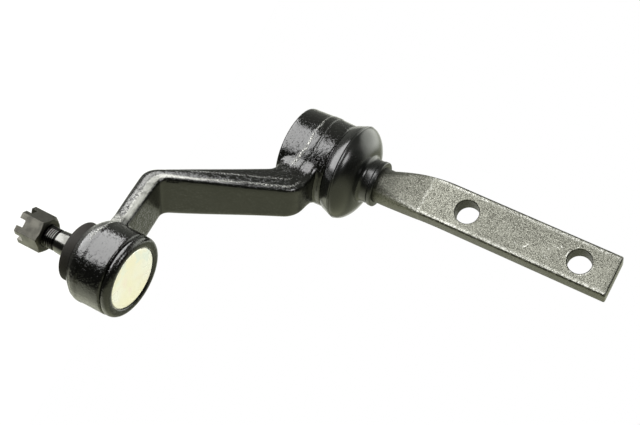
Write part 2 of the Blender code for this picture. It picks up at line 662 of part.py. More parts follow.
def build_seat_spring(ball_frame):
    """Conical coil that presses the upper seat down from the cover plate."""
    wire = SPRING_WIRE / 2
    low = UPPER_SEAT_TOP + SEAT_GAP + wire
    high = PLATE_FACE - PLATE_THICKNESS - SEAT_GAP - wire
    count = int(SPRING_TURNS * SPRING_POINTS_PER_TURN)
    curve = bpy.data.curves.new("ball_seat_spring", "CURVE")
    curve.dimensions = "3D"
    curve.bevel_depth = wire
    curve.bevel_resolution = 2
    curve.use_fill_caps = True
    spline = curve.splines.new("POLY")
    spline.points.add(count)
    for i in range(count + 1):
        share = i / count
        angle = math.tau * SPRING_TURNS * share
        radius = SPRING_OUTER_RADIUS + (SPRING_INNER_RADIUS - SPRING_OUTER_RADIUS) * share
        height = low + (high - low) * share
        spline.points[i].co = (radius * math.cos(angle), radius * math.sin(angle), height, 1.0)
    place(bpy.data.objects.new("ball_seat_spring", curve), ball_frame, "spring_steel")


def build_cover_plate(ball_frame):
    """Plated disc held by the crimped lip, its face raised inside the lip."""
    rim = PLATE_SEAT_RADIUS - SEAT_GAP
    under = PLATE_FACE - PLATE_THICKNESS
    profile = [
        (0.0, PLATE_FACE),
        (PLATE_FACE_RADIUS - BREAK_EDGE, PLATE_FACE),
        (PLATE_FACE_RADIUS, PLATE_FACE - BREAK_EDGE),
        (PLATE_FACE_RADIUS, PLATE_RIM_TOP),
        (rim, PLATE_RIM_TOP),
        (rim, PLATE_SEAT + SEAT_GAP),
        (PLATE_FACE_RADIUS - PLATE_THICKNESS, PLATE_SEAT + SEAT_GAP),
        (PLATE_FACE_RADIUS - PLATE_THICKNESS - BREAK_EDGE, under),
        (0.0, under),
    ]
    turned("cover_plate", profile, ball_frame, "zinc_plate", steps=LARGE_STEPS)


def build_dust_seal(ball_frame):
    """Rubber cup between the housing's back and the stud's taper."""
    base = HOUSING_BACK - SEAT_GAP
    end = base - SEAL_HEIGHT
    inner_end = end + SEAL_WALL
    neck = taper_radius(end) + SEAT_GAP
    waist = taper_radius(inner_end) + SEAT_GAP
    outer = bell(SEAL_RADIUS, end + SEAL_LIP, base - SEAL_STRAIGHT, neck + SEAL_LIP, SEAL_CURVE, SEAL_STEPS)
    inner = bell(SEAL_RADIUS - SEAL_WALL, inner_end, base - SEAL_STRAIGHT, waist, SEAL_CURVE, SEAL_STEPS)
    profile = [(SEAL_RADIUS, base)] + outer + [(neck, end)] + inner[::-1] + [(SEAL_RADIUS - SEAL_WALL, base)]
    turned("stud_dust_seal", profile, ball_frame, "seal_rubber", steps=LARGE_STEPS, ring=True)


def tang_section(z, left, right, half_depth, corner):
    """Return one section of the bracket: a rectangle with corners of any roundness."""
    middle = (left + right) / 2
    half_width = (right - left) / 2
    flatness = 1.0 - corner / min(half_width, half_depth)
    span = CIRCLE_SPAN + (90.0 - CIRCLE_SPAN) * min(1.0, flatness * CORNER_SPREAD)
    points = []
    for sign_x, sign_y, angle in ((1, 1, 45.0), (-1, 1, 135.0), (-1, -1, 225.0), (1, -1, 315.0)):
        centre = (middle + sign_x * (half_width - corner), PIVOT_Y + sign_y * (half_depth - corner))
        for x, y in arc(centre, (corner, corner), angle - span / 2, angle + span / 2, CORNER_STEPS):
            points.append((x, y, z))
    return points


def round_section(z, radius):
    """Return a round section of the bracket about the pivot axis."""
    return tang_section(z, PIVOT_OFFSET - radius, PIVOT_OFFSET + radius, radius, radius)


def build_bracket():
    """Forged bracket: pivot shaft with thread and collar, round shank, blend and flat tang."""
    journal_end = EYE_Z + NUT_WASHER_TOP + SEAT_GAP
    shaft_end = journal_end - SHAFT_THREAD_LENGTH
    collar = EYE_Z + COLLAR_BOTTOM
    collar_top = collar + COLLAR_HEIGHT
    sections = [
        round_section(shaft_end, SHAFT_THREAD_RADIUS - SHAFT_END_CHAMFER),
        round_section(shaft_end + SHAFT_END_CHAMFER, SHAFT_THREAD_RADIUS),
        round_section(journal_end, SHAFT_THREAD_RADIUS),
        round_section(journal_end, JOURNAL_RADIUS),
        round_section(collar, JOURNAL_RADIUS),
        round_section(collar, COLLAR_RADIUS),
        round_section(collar_top, COLLAR_RADIUS),
        round_section(collar_top + (COLLAR_RADIUS - SHANK_RADIUS) / 2, SHANK_RADIUS),
    ]
    flare_end = INNER_HOLE_Z - FLARE_END_TO_INNER_HOLE
    for i in range(BLEND_STEPS + 1):
        z = BLEND_START_Z + (flare_end - BLEND_START_Z) * i / BLEND_STEPS
        sections.append(blend_section(z, flare_end))
        if z < CREASE_Z < BLEND_START_Z + (flare_end - BLEND_START_Z) * (i + 1) / BLEND_STEPS:
            sections.append(blend_section(CREASE_Z, flare_end))
    tang_end = OUTER_HOLE_Z + OUTER_HOLE_TO_END
    half_width = TANG_WIDTH / 2
    half_depth = TANG_THICKNESS / 2
    sections.append(tang_section(tang_end - TANG_END_ROUND, -half_width, half_width, half_depth, TANG_EDGE_RADIUS))
    inset = TANG_END_ROUND
    sections.append(tang_section(tang_end, inset - half_width, half_width - inset, half_depth - inset,
                                 TANG_EDGE_RADIUS - inset / 2))
    bracket = loft("bracket", sections, None, "forged_steel")
    for name, z in (("inner_hole_form", INNER_HOLE_Z), ("outer_hole_form", OUTER_HOLE_Z)):
        hole = rod(name, BOLT_HOLE_DIAMETER / 2, 3 * TANG_THICKNESS, None, (0.0, PIVOT_Y, z),
                   (math.pi / 2, 0.0, 0.0))
        cut(bracket, hole)


def blend_section(z, flare_end):
    """Return a section between the round shank and the flat tang."""
    share = (z - BLEND_START_Z) / (flare_end - BLEND_START_Z)
    flare = math.sin(share * math.pi / 2)
    half_width = TANG_WIDTH / 2
    left = (PIVOT_OFFSET - SHANK_RADIUS) * (1.0 - flare) - half_width * flare
    right = (PIVOT_OFFSET + SHANK_RADIUS) * (1.0 - flare) + half_width * flare
    flat = min(1.0, (z - BLEND_START_Z) / (CREASE_Z - BLEND_START_Z))
    half_depth = SHANK_RADIUS + (TANG_THICKNESS / 2 - SHANK_RADIUS) * flat
    corner = TANG_EDGE_RADIUS + (SHANK_RADIUS - TANG_EDGE_RADIUS) * (1.0 - flat) ** BLEND_CURVE
    return tang_section(z, left, right, half_depth, min(corner, half_depth))


def sleeve(name, inner, outer, bottom, top, parent, finish):
    """Turn a plain ring with square edges."""
    turned(name, [(outer, top), (outer, bottom), (inner, bottom), (inner, top)], parent, finish, ring=True)


def disc_spring(name, bottom, inner_high, parent):
    """Turn one conical spring washer."""
    inner = JOURNAL_RADIUS + SEAT_GAP
    rise_in = DISC_SPRING_CONE if inner_high else 0.0
    rise_out = DISC_SPRING_CONE - rise_in
    profile = [
        (DISC_SPRING_RADIUS, bottom + rise_out + DISC_SPRING_THICKNESS),
        (DISC_SPRING_RADIUS, bottom + rise_out),
        (inner, bottom + rise_in),
        (inner, bottom + rise_in + DISC_SPRING_THICKNESS),
    ]
    turned(name, profile, parent, "spring_steel", ring=True)


def build_pivot_pieces(pivot_frame, arm_frame):
    """Bushes, washers, springs, nut, seal ring and plug inside the pivot eye."""
    running = JOURNAL_RADIUS + SEAT_GAP
    bush = PIVOT_BORE_RADIUS - SEAT_GAP
    ring = (PIVOT_BORE_RADIUS - JOURNAL_RADIUS) / 2 - SEAT_GAP
    lower_top = POCKET_DEPTH + LOWER_BUSH_HEIGHT
    sleeve("lower_bush", running, bush, POCKET_DEPTH, lower_top, arm_frame, "seat_polymer")
    sleeve("upper_bush", running, bush, lower_top + SEAT_GAP, SPIGOT_TOP - 2 * ring - SEAT_GAP, arm_frame,
           "seat_polymer")
    middle = (PIVOT_BORE_RADIUS + JOURNAL_RADIUS) / 2
    turned("shaft_seal_ring", arc((middle, SPIGOT_TOP - ring), (ring, ring), 90.0, -270.0, RING_STEPS)[:-1],
           arm_frame, "seal_rubber", ring=True)
    sleeve("upper_thrust_washer", running, THRUST_WASHER_RADIUS, SPIGOT_TOP + SEAT_GAP,
           SPIGOT_TOP + SEAT_GAP + THRUST_WASHER_THICKNESS, arm_frame, "seat_polymer")
    sleeve("lower_thrust_washer", running, THRUST_WASHER_RADIUS, LOWER_THRUST_BOTTOM,
           POCKET_DEPTH - SEAT_GAP, arm_frame, "seat_polymer")
    disc_spring("upper_disc_spring", UPPER_DISC_BOTTOM, True, pivot_frame)
    disc_spring("lower_disc_spring", LOWER_DISC_BOTTOM, False, pivot_frame)
    thread = SHAFT_THREAD_RADIUS + SEAT_GAP
    sleeve("nut_washer", thread, NUT_WASHER_RADIUS, NUT_WASHER_TOP - NUT_WASHER_THICKNESS, NUT_WASHER_TOP,
           pivot_frame, "spring_steel")
    nut_top = NUT_WASHER_TOP - NUT_WASHER_THICKNESS - SEAT_GAP
    build_shaft_nut(nut_top, thread, pivot_frame)
    plug_top = PLUG_SEAT_DEPTH - SEAT_GAP
    plug_radius = PLUG_SEAT_RADIUS - SEAT_GAP
    turned("end_plug", [
        (0.0, plug_top),
        (plug_radius, plug_top),
        (plug_radius, plug_top - PLUG_THICKNESS),
        (plug_radius - 2 * PLUG_THICKNESS, plug_top - PLUG_THICKNESS),
        (0.0, plug_top - PLUG_THICKNESS - PLUG_DOME),
    ], arm_frame, "black_paint")


def build_shaft_nut(top, bore_radius, parent):
    """Plain hexagon nut on the end of the pivot shaft."""
    corner = SHAFT_NUT_ACROSS_FLATS / 2 / math.cos(math.pi / 6)
    mesh = bpy.data.meshes.new("shaft_nut")
    bm = bmesh.new()
    bmesh.ops.create_cone(bm, cap_ends=True, segments=6, radius1=corner, radius2=corner, depth=SHAFT_NUT_HEIGHT)
    bm.to_mesh(mesh)
    bm.free()
    nut = place(bpy.data.objects.new("shaft_nut", mesh), parent, "spring_steel")
    nut.location = (0.0, 0.0, top - SHAFT_NUT_HEIGHT / 2)
    bore = rod("shaft_nut_bore_form", bore_radius, 2 * SHAFT_NUT_HEIGHT, parent,
               (0.0, 0.0, top - SHAFT_NUT_HEIGHT / 2), (0.0, 0.0, 0.0))
    cut(nut, bore)


def build_boot(arm_frame):
    """Rubber boot: conical band, sharp ridge, bell and a neck with a thicker lip."""
    shoulder = BOOT_RIDGE_HEIGHT + BOOT_RIDGE_STEP
    bell_top = BOOT_HEIGHT - BOOT_NECK_LENGTH
    outer = [(BOOT_LIP_BORE, BOOT_HEIGHT), (BOOT_LIP_RADIUS - BREAK_EDGE, BOOT_HEIGHT),
             (BOOT_LIP_RADIUS, BOOT_HEIGHT - BOOT_LIP_LENGTH),
             (BOOT_NECK_RADIUS, BOOT_HEIGHT - 2 * BOOT_LIP_LENGTH)]
    outer += arc((BOOT_NECK_RADIUS + BOOT_NECK_FILLET, bell_top + BOOT_NECK_FILLET),
                 (BOOT_NECK_FILLET, BOOT_NECK_FILLET), 180.0, 270.0, BELL_STEPS // 3)[:-1]
    outer += bell(BOOT_RIDGE_RADIUS - BOOT_RIDGE_STEP, bell_top, shoulder,
                  BOOT_NECK_RADIUS + BOOT_NECK_FILLET, BELL_CURVE, BELL_STEPS)[::-1]
    outer += [(BOOT_RIDGE_RADIUS, BOOT_RIDGE_HEIGHT),
              (BOOT_RIDGE_RADIUS - BOOT_RIDGE_STEP, BOOT_RIDGE_HEIGHT - BOOT_RIDGE_STEP),
              (BOOT_BAND_RADIUS, SEAT_GAP)]
    grip = SPIGOT_RADIUS + SEAT_GAP
    inner = [(grip, SEAT_GAP), (grip, SPIGOT_HEIGHT)]
    inner += bell(BOOT_RIDGE_RADIUS - BOOT_WALL, bell_top - BOOT_WALL, shoulder, BOOT_LIP_BORE,
                  BELL_CURVE, BELL_STEPS - 2)
    profile = [(radius, PIVOT_EYE_HEIGHT + height) for radius, height in outer + inner]
    turned("pivot_boot", profile, arm_frame, "boot_rubber", steps=LARGE_STEPS, ring=True)


clear_scene()
PARTS = collection("idler_arm_assembly")
CUTTERS = collection("cutters")
PIVOT_FRAME = empty("pivot_frame", (PIVOT_OFFSET, PIVOT_Y, EYE_Z))
ARM_FRAME = empty("arm_frame", (0.0, 0.0, 0.0), PIVOT_FRAME, ARM_ANGLE)
BALL_FRAME = empty("ball_frame", (ARM_LENGTH, 0.0, -BALL_DROP), ARM_FRAME)
build_bracket()
build_arm(ARM_FRAME, BALL_FRAME)
build_pivot_pieces(PIVOT_FRAME, ARM_FRAME)
build_boot(ARM_FRAME)
build_stud(BALL_FRAME)
build_ball_seats(BALL_FRAME)
build_seat_spring(BALL_FRAME)
build_cover_plate(BALL_FRAME)
build_dust_seal(BALL_FRAME)
build_castle_nut(BALL_FRAME)
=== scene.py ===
"""Steering idler arm dressed for a studio picture.

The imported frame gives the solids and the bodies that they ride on. The pieces that show are
modelled again here at a finer scale, and every piece gets a procedural finish. Metres, +Z up.
"""

import json
import logging
import math
from collections.abc import Sequence
from dataclasses import dataclass
from enum import Enum

import bmesh
import bpy
from mathutils import Matrix, Vector, noise

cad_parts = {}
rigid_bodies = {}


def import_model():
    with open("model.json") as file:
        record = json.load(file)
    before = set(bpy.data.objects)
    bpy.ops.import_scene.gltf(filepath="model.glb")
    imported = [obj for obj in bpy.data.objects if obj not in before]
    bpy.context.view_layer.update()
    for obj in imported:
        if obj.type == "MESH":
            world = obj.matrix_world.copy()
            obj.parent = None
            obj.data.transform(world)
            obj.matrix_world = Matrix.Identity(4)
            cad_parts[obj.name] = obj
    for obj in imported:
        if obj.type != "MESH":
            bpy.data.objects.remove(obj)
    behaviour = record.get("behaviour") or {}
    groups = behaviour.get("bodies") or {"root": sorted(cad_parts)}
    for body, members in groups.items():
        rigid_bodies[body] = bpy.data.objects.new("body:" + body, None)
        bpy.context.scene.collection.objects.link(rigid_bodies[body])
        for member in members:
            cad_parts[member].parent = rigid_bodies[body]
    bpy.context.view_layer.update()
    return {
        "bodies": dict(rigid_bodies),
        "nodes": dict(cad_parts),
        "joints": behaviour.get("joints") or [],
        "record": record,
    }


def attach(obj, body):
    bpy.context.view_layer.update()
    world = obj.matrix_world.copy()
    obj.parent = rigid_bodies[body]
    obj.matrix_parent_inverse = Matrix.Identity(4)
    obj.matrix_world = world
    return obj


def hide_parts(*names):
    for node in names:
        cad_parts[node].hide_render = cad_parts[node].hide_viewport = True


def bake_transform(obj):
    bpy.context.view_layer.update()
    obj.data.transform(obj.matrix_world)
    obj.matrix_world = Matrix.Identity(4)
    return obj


LOG = logging.getLogger("idler_arm")
MM = 0.001
WELD = 0.002 * MM
BEVEL_WELD = 0.004 * MM
STRAIGHT_CORNER = math.radians(88.0)
SURFACE = "Principled BSDF"

Point = tuple[float, float]
Triple = tuple[float, float, float]
Colour = tuple[float, float, float]
Socket = bpy.types.NodeSocket


class Body(Enum):
    """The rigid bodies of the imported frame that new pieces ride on."""

    BRACKET = "bracket_body"
    ARM = "arm_body"
    SEAT = "seat_body"
    SEAL = "seal_body"
    STUD = "stud_body"


class Slot(Enum):
    """The record's material slots."""

    FORGED_STEEL = "forged_steel"
    BLACK_PAINT = "black_paint"
    GROUND_STEEL = "ground_steel"
    PHOSPHATE = "phosphate"
    ZINC_PLATE = "zinc_plate"
    SEAL_RUBBER = "seal_rubber"
    BOOT_RUBBER = "boot_rubber"


class Operation(Enum):
    """How a Boolean joins two forms."""

    CUT = "DIFFERENCE"
    UNITE = "UNION"
    SHARE = "INTERSECT"


# Places


@dataclass(frozen=True)
class Places:
    """Where the pivot, the arm and the ball stand in the object's frame."""

    pivot: Vector = Vector((4.3 * MM, -6.35 * MM, -147.1 * MM))
    arm_angle: float = math.radians(-28.7)
    arm_length: float = 138.9 * MM
    ball_drop: float = 35.9 * MM

    def pivot_frame(self) -> Matrix:
        """Return the frame on the pivot axis at the eye's closed end."""
        return Matrix.Translation(self.pivot)

    def arm_frame(self) -> Matrix:
        """Return the pivot frame turned so that +X runs along the arm."""
        return self.pivot_frame() @ Matrix.Rotation(self.arm_angle, 4, "Z")

    def ball_frame(self) -> Matrix:
        """Return the frame at the ball's centre, +Z towards the cover plate."""
        return self.arm_frame() @ Matrix.Translation((self.arm_length, 0.0, -self.ball_drop))


PLACES = Places()


# Mesh tools


def arc(centre: Point, radius: float, start: float, end: float, count: int) -> list[Point]:
    """Return points of a circular arc.

    Args:
        centre: The arc's centre.
        radius: Its radius.
        start: First angle in degrees.
        end: Last angle in degrees.
        count: Number of steps.

    Returns:
        count + 1 points.
    """
    points = []
    for i in range(count + 1):
        angle = math.radians(start + (end - start) * i / count)
        points.append((centre[0] + radius * math.cos(angle), centre[1] + radius * math.sin(angle)))
    return points


def eased(corners: Sequence[Triple], closed: bool = False, count: int = 5) -> list[Point]:
    """Round the corners of an outline.

    Args:
        corners: (across, height, radius) of each corner.
        closed: Whether the last corner leads back to the first.
        count: Steps of each rounded corner.

    Returns:
        The outline's points.
    """
    points: list[Point] = []
    total = len(corners)
    for i, (x, y, radius) in enumerate(corners):
        here = Vector((x, y))
        if radius <= 0.0 or (not closed and i in (0, total - 1)):
            points.append((x, y))
            continue
        before = Vector(corners[i - 1][:2])
        after = Vector(corners[(i + 1) % total][:2])
        a = (before - here).normalized()
        b = (after - here).normalized()
        half = a.angle(b) / 2
        if half > STRAIGHT_CORNER:
            points.append((x, y))
            continue
        centre = here + (a + b).normalized() * radius / math.sin(half)
        first = here + a * radius / math.tan(half) - centre
        last = here + b * radius / math.tan(half) - centre
        turn = first.angle_signed(last)
        for step in range(count + 1):
            spoke = Matrix.Rotation(-turn * step / count, 2) @ first
            points.append((centre.x + spoke.x, centre.y + spoke.y))
    return points


def bell(wide: float, top: float, foot: float, narrow: float, curve: float, count: int) -> list[Point]:
    """Return a bell's side from its wide foot to its narrow top.

    Args:
        wide: Radius at the foot.
        top: Height of the top.
        foot: Height of the foot.
        narrow: Radius at the top.
        curve: Fullness of the shoulder, 2 is a circle's.
        count: Number of steps.

    Returns:
        count + 1 points of radius and height.
    """
    points = []
    for i in range(count + 1):
        angle = math.pi / 2 * i / count
        across = math.cos(angle) ** (2 / curve) if i < count else 0.0
        rise = math.sin(angle) ** (2 / curve)
        points.append((narrow + (wide - narrow) * across, foot + (top - foot) * rise))
    return points


def spun(profile: Sequence[Point], steps: int, ring: bool = False) -> bmesh.types.BMesh:
    """Spin a profile of (radius, height) points about Z into a closed form.

    Args:
        profile: The outline's points.
        steps: Number of steps of the full turn.
        ring: Whether the outline is closed by its last point.

    Returns:
        A bmesh with its faces outwards.
    """
    bm = bmesh.new()
    verts = [bm.verts.new((radius, 0.0, height)) for radius, height in profile]
    edges = [bm.edges.new(pair) for pair in zip(verts, verts[1:])]
    if ring:
        edges.append(bm.edges.new((verts[-1], verts[0])))
    bmesh.ops.spin(bm, geom=verts + edges, cent=(0.0, 0.0, 0.0), axis=(0.0, 0.0, 1.0), angle=math.tau,
                   steps=steps, use_merge=True, use_duplicate=False)
    bmesh.ops.remove_doubles(bm, verts=bm.verts, dist=WELD)
    bmesh.ops.recalc_face_normals(bm, faces=bm.faces)
    return bm


def lofted(sections: Sequence[Sequence[Vector]]) -> bmesh.types.BMesh:
    """Bridge like-numbered closed sections into one closed form.

    Args:
        sections: The points of each section.

    Returns:
        A bmesh with its faces outwards.
    """
    bm = bmesh.new()
    rings = []
    for section in sections:
        verts = [bm.verts.new(point) for point in section]
        rings.append([bm.edges.new((verts[i - 1], verts[i])) for i in range(len(verts))])
    for lower, upper in zip(rings, rings[1:]):
        bmesh.ops.bridge_loops(bm, edges=lower + upper)
    bmesh.ops.holes_fill(bm, edges=rings[0] + rings[-1], sides=0)
    bmesh.ops.recalc_face_normals(bm, faces=bm.faces)
    return bm


def as_object(name: str, bm: bmesh.types.BMesh, frame: Matrix | None = None) -> bpy.types.Object:
    """Turn a bmesh into an object of the scene, with its place in its mesh.

    Args:
        name: The object's name.
        bm: The form, which is freed.
        frame: Where the form goes in the object's frame.

    Returns:
        The new object.
    """
    if frame is not None:
        bmesh.ops.transform(bm, matrix=frame, verts=bm.verts)
    mesh = bpy.data.meshes.new(name)
    bm.to_mesh(mesh)
    bm.free()
    obj = bpy.data.objects.new(name, mesh)
    bpy.context.scene.collection.objects.link(obj)
    return obj


def settle(obj: bpy.types.Object, scrap: Sequence[bpy.types.Object] = ()) -> None:
    """Apply an object's modifiers and drop the forms that they used.

    Args:
        obj: The object.
        scrap: Objects that are no longer needed.
    """
    bpy.context.view_layer.update()
    graph = bpy.context.evaluated_depsgraph_get()
    mesh = bpy.data.meshes.new_from_object(obj.evaluated_get(graph))
    old = obj.data
    obj.modifiers.clear()
    obj.data = mesh
    mesh.name = obj.name
    bpy.data.meshes.remove(old)
    for item in scrap:
        bpy.data.objects.remove(item, do_unlink=True)


def boolean(obj: bpy.types.Object, tool: bpy.types.Object, operation: Operation = Operation.CUT) -> None:
    """Add an exact Boolean with another form to an object.

    Args:
        obj: The object.
        tool: The other form.
        operation: How the two are joined.
    """
    modifier = obj.modifiers.new(tool.name, "BOOLEAN")
    modifier.operation = operation.value
    modifier.solver = "EXACT"
    modifier.object = tool
    tool.hide_render = True


def shade(obj: bpy.types.Object, sharp: float = 38.0) -> None:
    """Shade a mesh smooth but for the edges sharper than an angle in degrees."""
    obj.data.shade_smooth()
    obj.data.set_sharp_from_angle(angle=math.radians(sharp))


def soften(obj: bpy.types.Object, width: float, segments: int = 2, angle: float = 35.0) -> None:
    """Bevel the edges of a mesh that are sharper than an angle.

    Args:
        obj: The object.
        width: Width of the bevel.
        segments: Number of its segments.
        angle: The angle in degrees.
    """
    bm = bmesh.new()
    bm.from_mesh(obj.data)
    bmesh.ops.remove_doubles(bm, verts=bm.verts, dist=BEVEL_WELD)
    limit = math.radians(angle)
    edges = [edge for edge in bm.edges if len(edge.link_faces) == 2 and edge.calc_face_angle(0.0) > limit]
    bmesh.ops.bevel(bm, geom=edges, offset=width, affect="EDGES", segments=segments, profile=0.5,
                    material=-1, clamp_overlap=True)
    bm.to_mesh(obj.data)
    bm.free()


def smooth_step(low: float, high: float, value: float) -> float:
    """Return 0 at low and beyond, 1 at high and beyond, and a smooth change between them."""
    share = max(0.0, min(1.0, (value - low) / (high - low)))
    return share * share * (3.0 - 2.0 * share)


# Material tools


class Shader:
    """One node material under construction."""

    def __init__(self, name: str) -> None:
        """Start a material with a Principled surface.

        Args:
            name: The material's name.
        """
        self.material = bpy.data.materials.new(name)
        self.material.use_nodes = True
        self.tree = self.material.node_tree
        self.surface = self.tree.nodes[SURFACE]

    def node(self, kind: str) -> bpy.types.Node:
        """Add a node."""
        return self.tree.nodes.new(kind)

    def join(self, source: Socket | float | Colour, target: Socket) -> None:
        """Link a socket to an input, or set the input to a value.

        Args:
            source: The socket or the value.
            target: The input.
        """
        if isinstance(source, bpy.types.NodeSocket):
            self.tree.links.new(source, target)
        elif isinstance(source, tuple) and target.type == "RGBA":
            target.default_value = (*source, 1.0)
        else:
            target.default_value = source

    def place(self, stretch: Triple = (1.0, 1.0, 1.0), turn: Triple = (0.0, 0.0, 0.0)) -> Socket:
        """Return object coordinates, turned and stretched.

        Args:
            stretch: Scale along each axis.
            turn: Rotation in degrees.

        Returns:
            The vector socket.
        """
        coordinates = self.node("ShaderNodeTexCoord")
        mapping = self.node("ShaderNodeMapping")
        mapping.vector_type = "TEXTURE" if turn != (0.0, 0.0, 0.0) else "POINT"
        self.join(coordinates.outputs["Object"], mapping.inputs["Vector"])
        mapping.inputs["Rotation"].default_value = tuple(math.radians(angle) for angle in turn)
        if mapping.vector_type == "TEXTURE":
            mapping.inputs["Scale"].default_value = tuple(1.0 / share for share in stretch)
        else:
            mapping.inputs["Scale"].default_value = stretch
        return mapping.outputs["Vector"]

    def attribute(self, name: str) -> Socket:
        """Return a mesh attribute's value.

        Args:
            name: The attribute's name.

        Returns:
            The value socket.
        """
        node = self.node("ShaderNodeAttribute")
        node.attribute_name = name
        return node.outputs["Fac"]

    def axes(self) -> tuple[Socket, Socket, Socket]:
        """Return the object coordinates one by one.

        Returns:
            The sockets of x, y and z.
        """
        node = self.node("ShaderNodeSeparateXYZ")
        self.join(self.place(), node.inputs[0])
        return node.outputs[0], node.outputs[1], node.outputs[2]

    def noise(self, vector: Socket, grain: float, detail: float = 4.0, rough: float = 0.55,
              bend: float = 0.0) -> Socket:
        """Return a noise value.

        Args:
            vector: Where it is read.
            grain: Size of its largest grains in metres.
            detail: Number of finer octaves.
            rough: Strength of the finer octaves.
            bend: Distortion.

        Returns:
            The value socket, about 0.5 on average.
        """
        node = self.node("ShaderNodeTexNoise")
        self.join(vector, node.inputs["Vector"])
        node.inputs["Scale"].default_value = 1.0 / grain
        node.inputs["Detail"].default_value = detail
        node.inputs["Roughness"].default_value = rough
        node.inputs["Distortion"].default_value = bend
        return node.outputs["Fac"]

    def step(self, value: Socket, low: float, high: float, bottom: float = 0.0, top: float = 1.0) -> Socket:
        """Map a value smoothly from one range to another.

        Args:
            value: The value socket.
            low: The value that gives the bottom.
            high: The value that gives the top.
            bottom: The result at low and beyond.
            top: The result at high and beyond.

        Returns:
            The result's socket.
        """
        node = self.node("ShaderNodeMapRange")
        node.interpolation_type = "SMOOTHSTEP"
        self.join(value, node.inputs["Value"])
        node.inputs["From Min"].default_value = low
        node.inputs["From Max"].default_value = high
        node.inputs["To Min"].default_value = bottom
        node.inputs["To Max"].default_value = top
        return node.outputs["Result"]

    def combine(self, operation: str, a: Socket | float, b: Socket | float = 0.0) -> Socket:
        """Combine two values.

        Args:
            operation: The math operation.
            a: The first value.
            b: The second value.

        Returns:
            The result's socket.
        """
        node = self.node("ShaderNodeMath")
        node.operation = operation
        self.join(a, node.inputs[0])
        self.join(b, node.inputs[1])
        return node.outputs[0]

    def times(self, a: Socket | float, b: Socket | float) -> Socket:
        """Return the product of two values."""
        return self.combine("MULTIPLY", a, b)

    def plus(self, a: Socket | float, b: Socket | float) -> Socket:
        """Return the sum of two values."""
        return self.combine("ADD", a, b)

    def minus(self, a: Socket | float, b: Socket | float) -> Socket:
        """Return the first value less the second."""
        return self.combine("SUBTRACT", a, b)

    def higher(self, a: Socket | float, b: Socket | float) -> Socket:
        """Return the higher of two values."""
        return self.combine("MAXIMUM", a, b)

    def lower(self, a: Socket | float, b: Socket | float) -> Socket:
        """Return the lower of two values."""
        return self.combine("MINIMUM", a, b)

    def absolute(self, a: Socket) -> Socket:
        """Return a value without its sign."""
        return self.combine("ABSOLUTE", a)

    def length(self, a: Socket, b: Socket) -> Socket:
        """Return the length of a step of a one way and b across it."""
        return self.combine("POWER", self.plus(self.times(a, a), self.times(b, b)), 0.5)

    def mix(self, share: Socket | float, a: Socket | Colour, b: Socket | Colour) -> Socket:
        """Mix two colours.

        Args:
            share: The second colour's share.
            a: The first colour.
            b: The second colour.

        Returns:
            The mixed colour's socket.
        """
        node = self.node("ShaderNodeMix")
        node.data_type = "RGBA"
        self.join(share, node.inputs[0])
        self.join(a, node.inputs[6])
        self.join(b, node.inputs[7])
        return node.outputs[2]

    def bump(self, height: Socket, depth: float, before: Socket | None = None) -> Socket:
        """Return a normal bent by a height.

        Args:
            height: The height value.
            depth: What a height of one measures, in metres.
            before: A normal to start from.

        Returns:
            The normal socket.
        """
        node = self.node("ShaderNodeBump")
        self.join(height, node.inputs["Height"])
        node.inputs["Distance"].default_value = depth
        node.inputs["Strength"].default_value = 1.0
        if before is not None:
            self.join(before, node.inputs["Normal"])
        return node.outputs["Normal"]

    def finish(self, colour: Socket | Colour, metallic: Socket | float, roughness: Socket | float,
               normal: Socket | None = None) -> bpy.types.Material:
        """Join the results to the surface.

        Args:
            colour: Base colour.
            metallic: Metallic value.
            roughness: Roughness.
            normal: Bent normal.

        Returns:
            The material.
        """
        self.join(colour, self.surface.inputs["Base Color"])
        self.join(metallic, self.surface.inputs["Metallic"])
        self.join(roughness, self.surface.inputs["Roughness"])
        if normal is not None:
            self.join(normal, self.surface.inputs["Normal"])
        return self.material


# Finishes


@dataclass(frozen=True)
class Relief:
    """A layer of unevenness: the size of its grains and how far they stand out."""

    grain: float
    depth: float


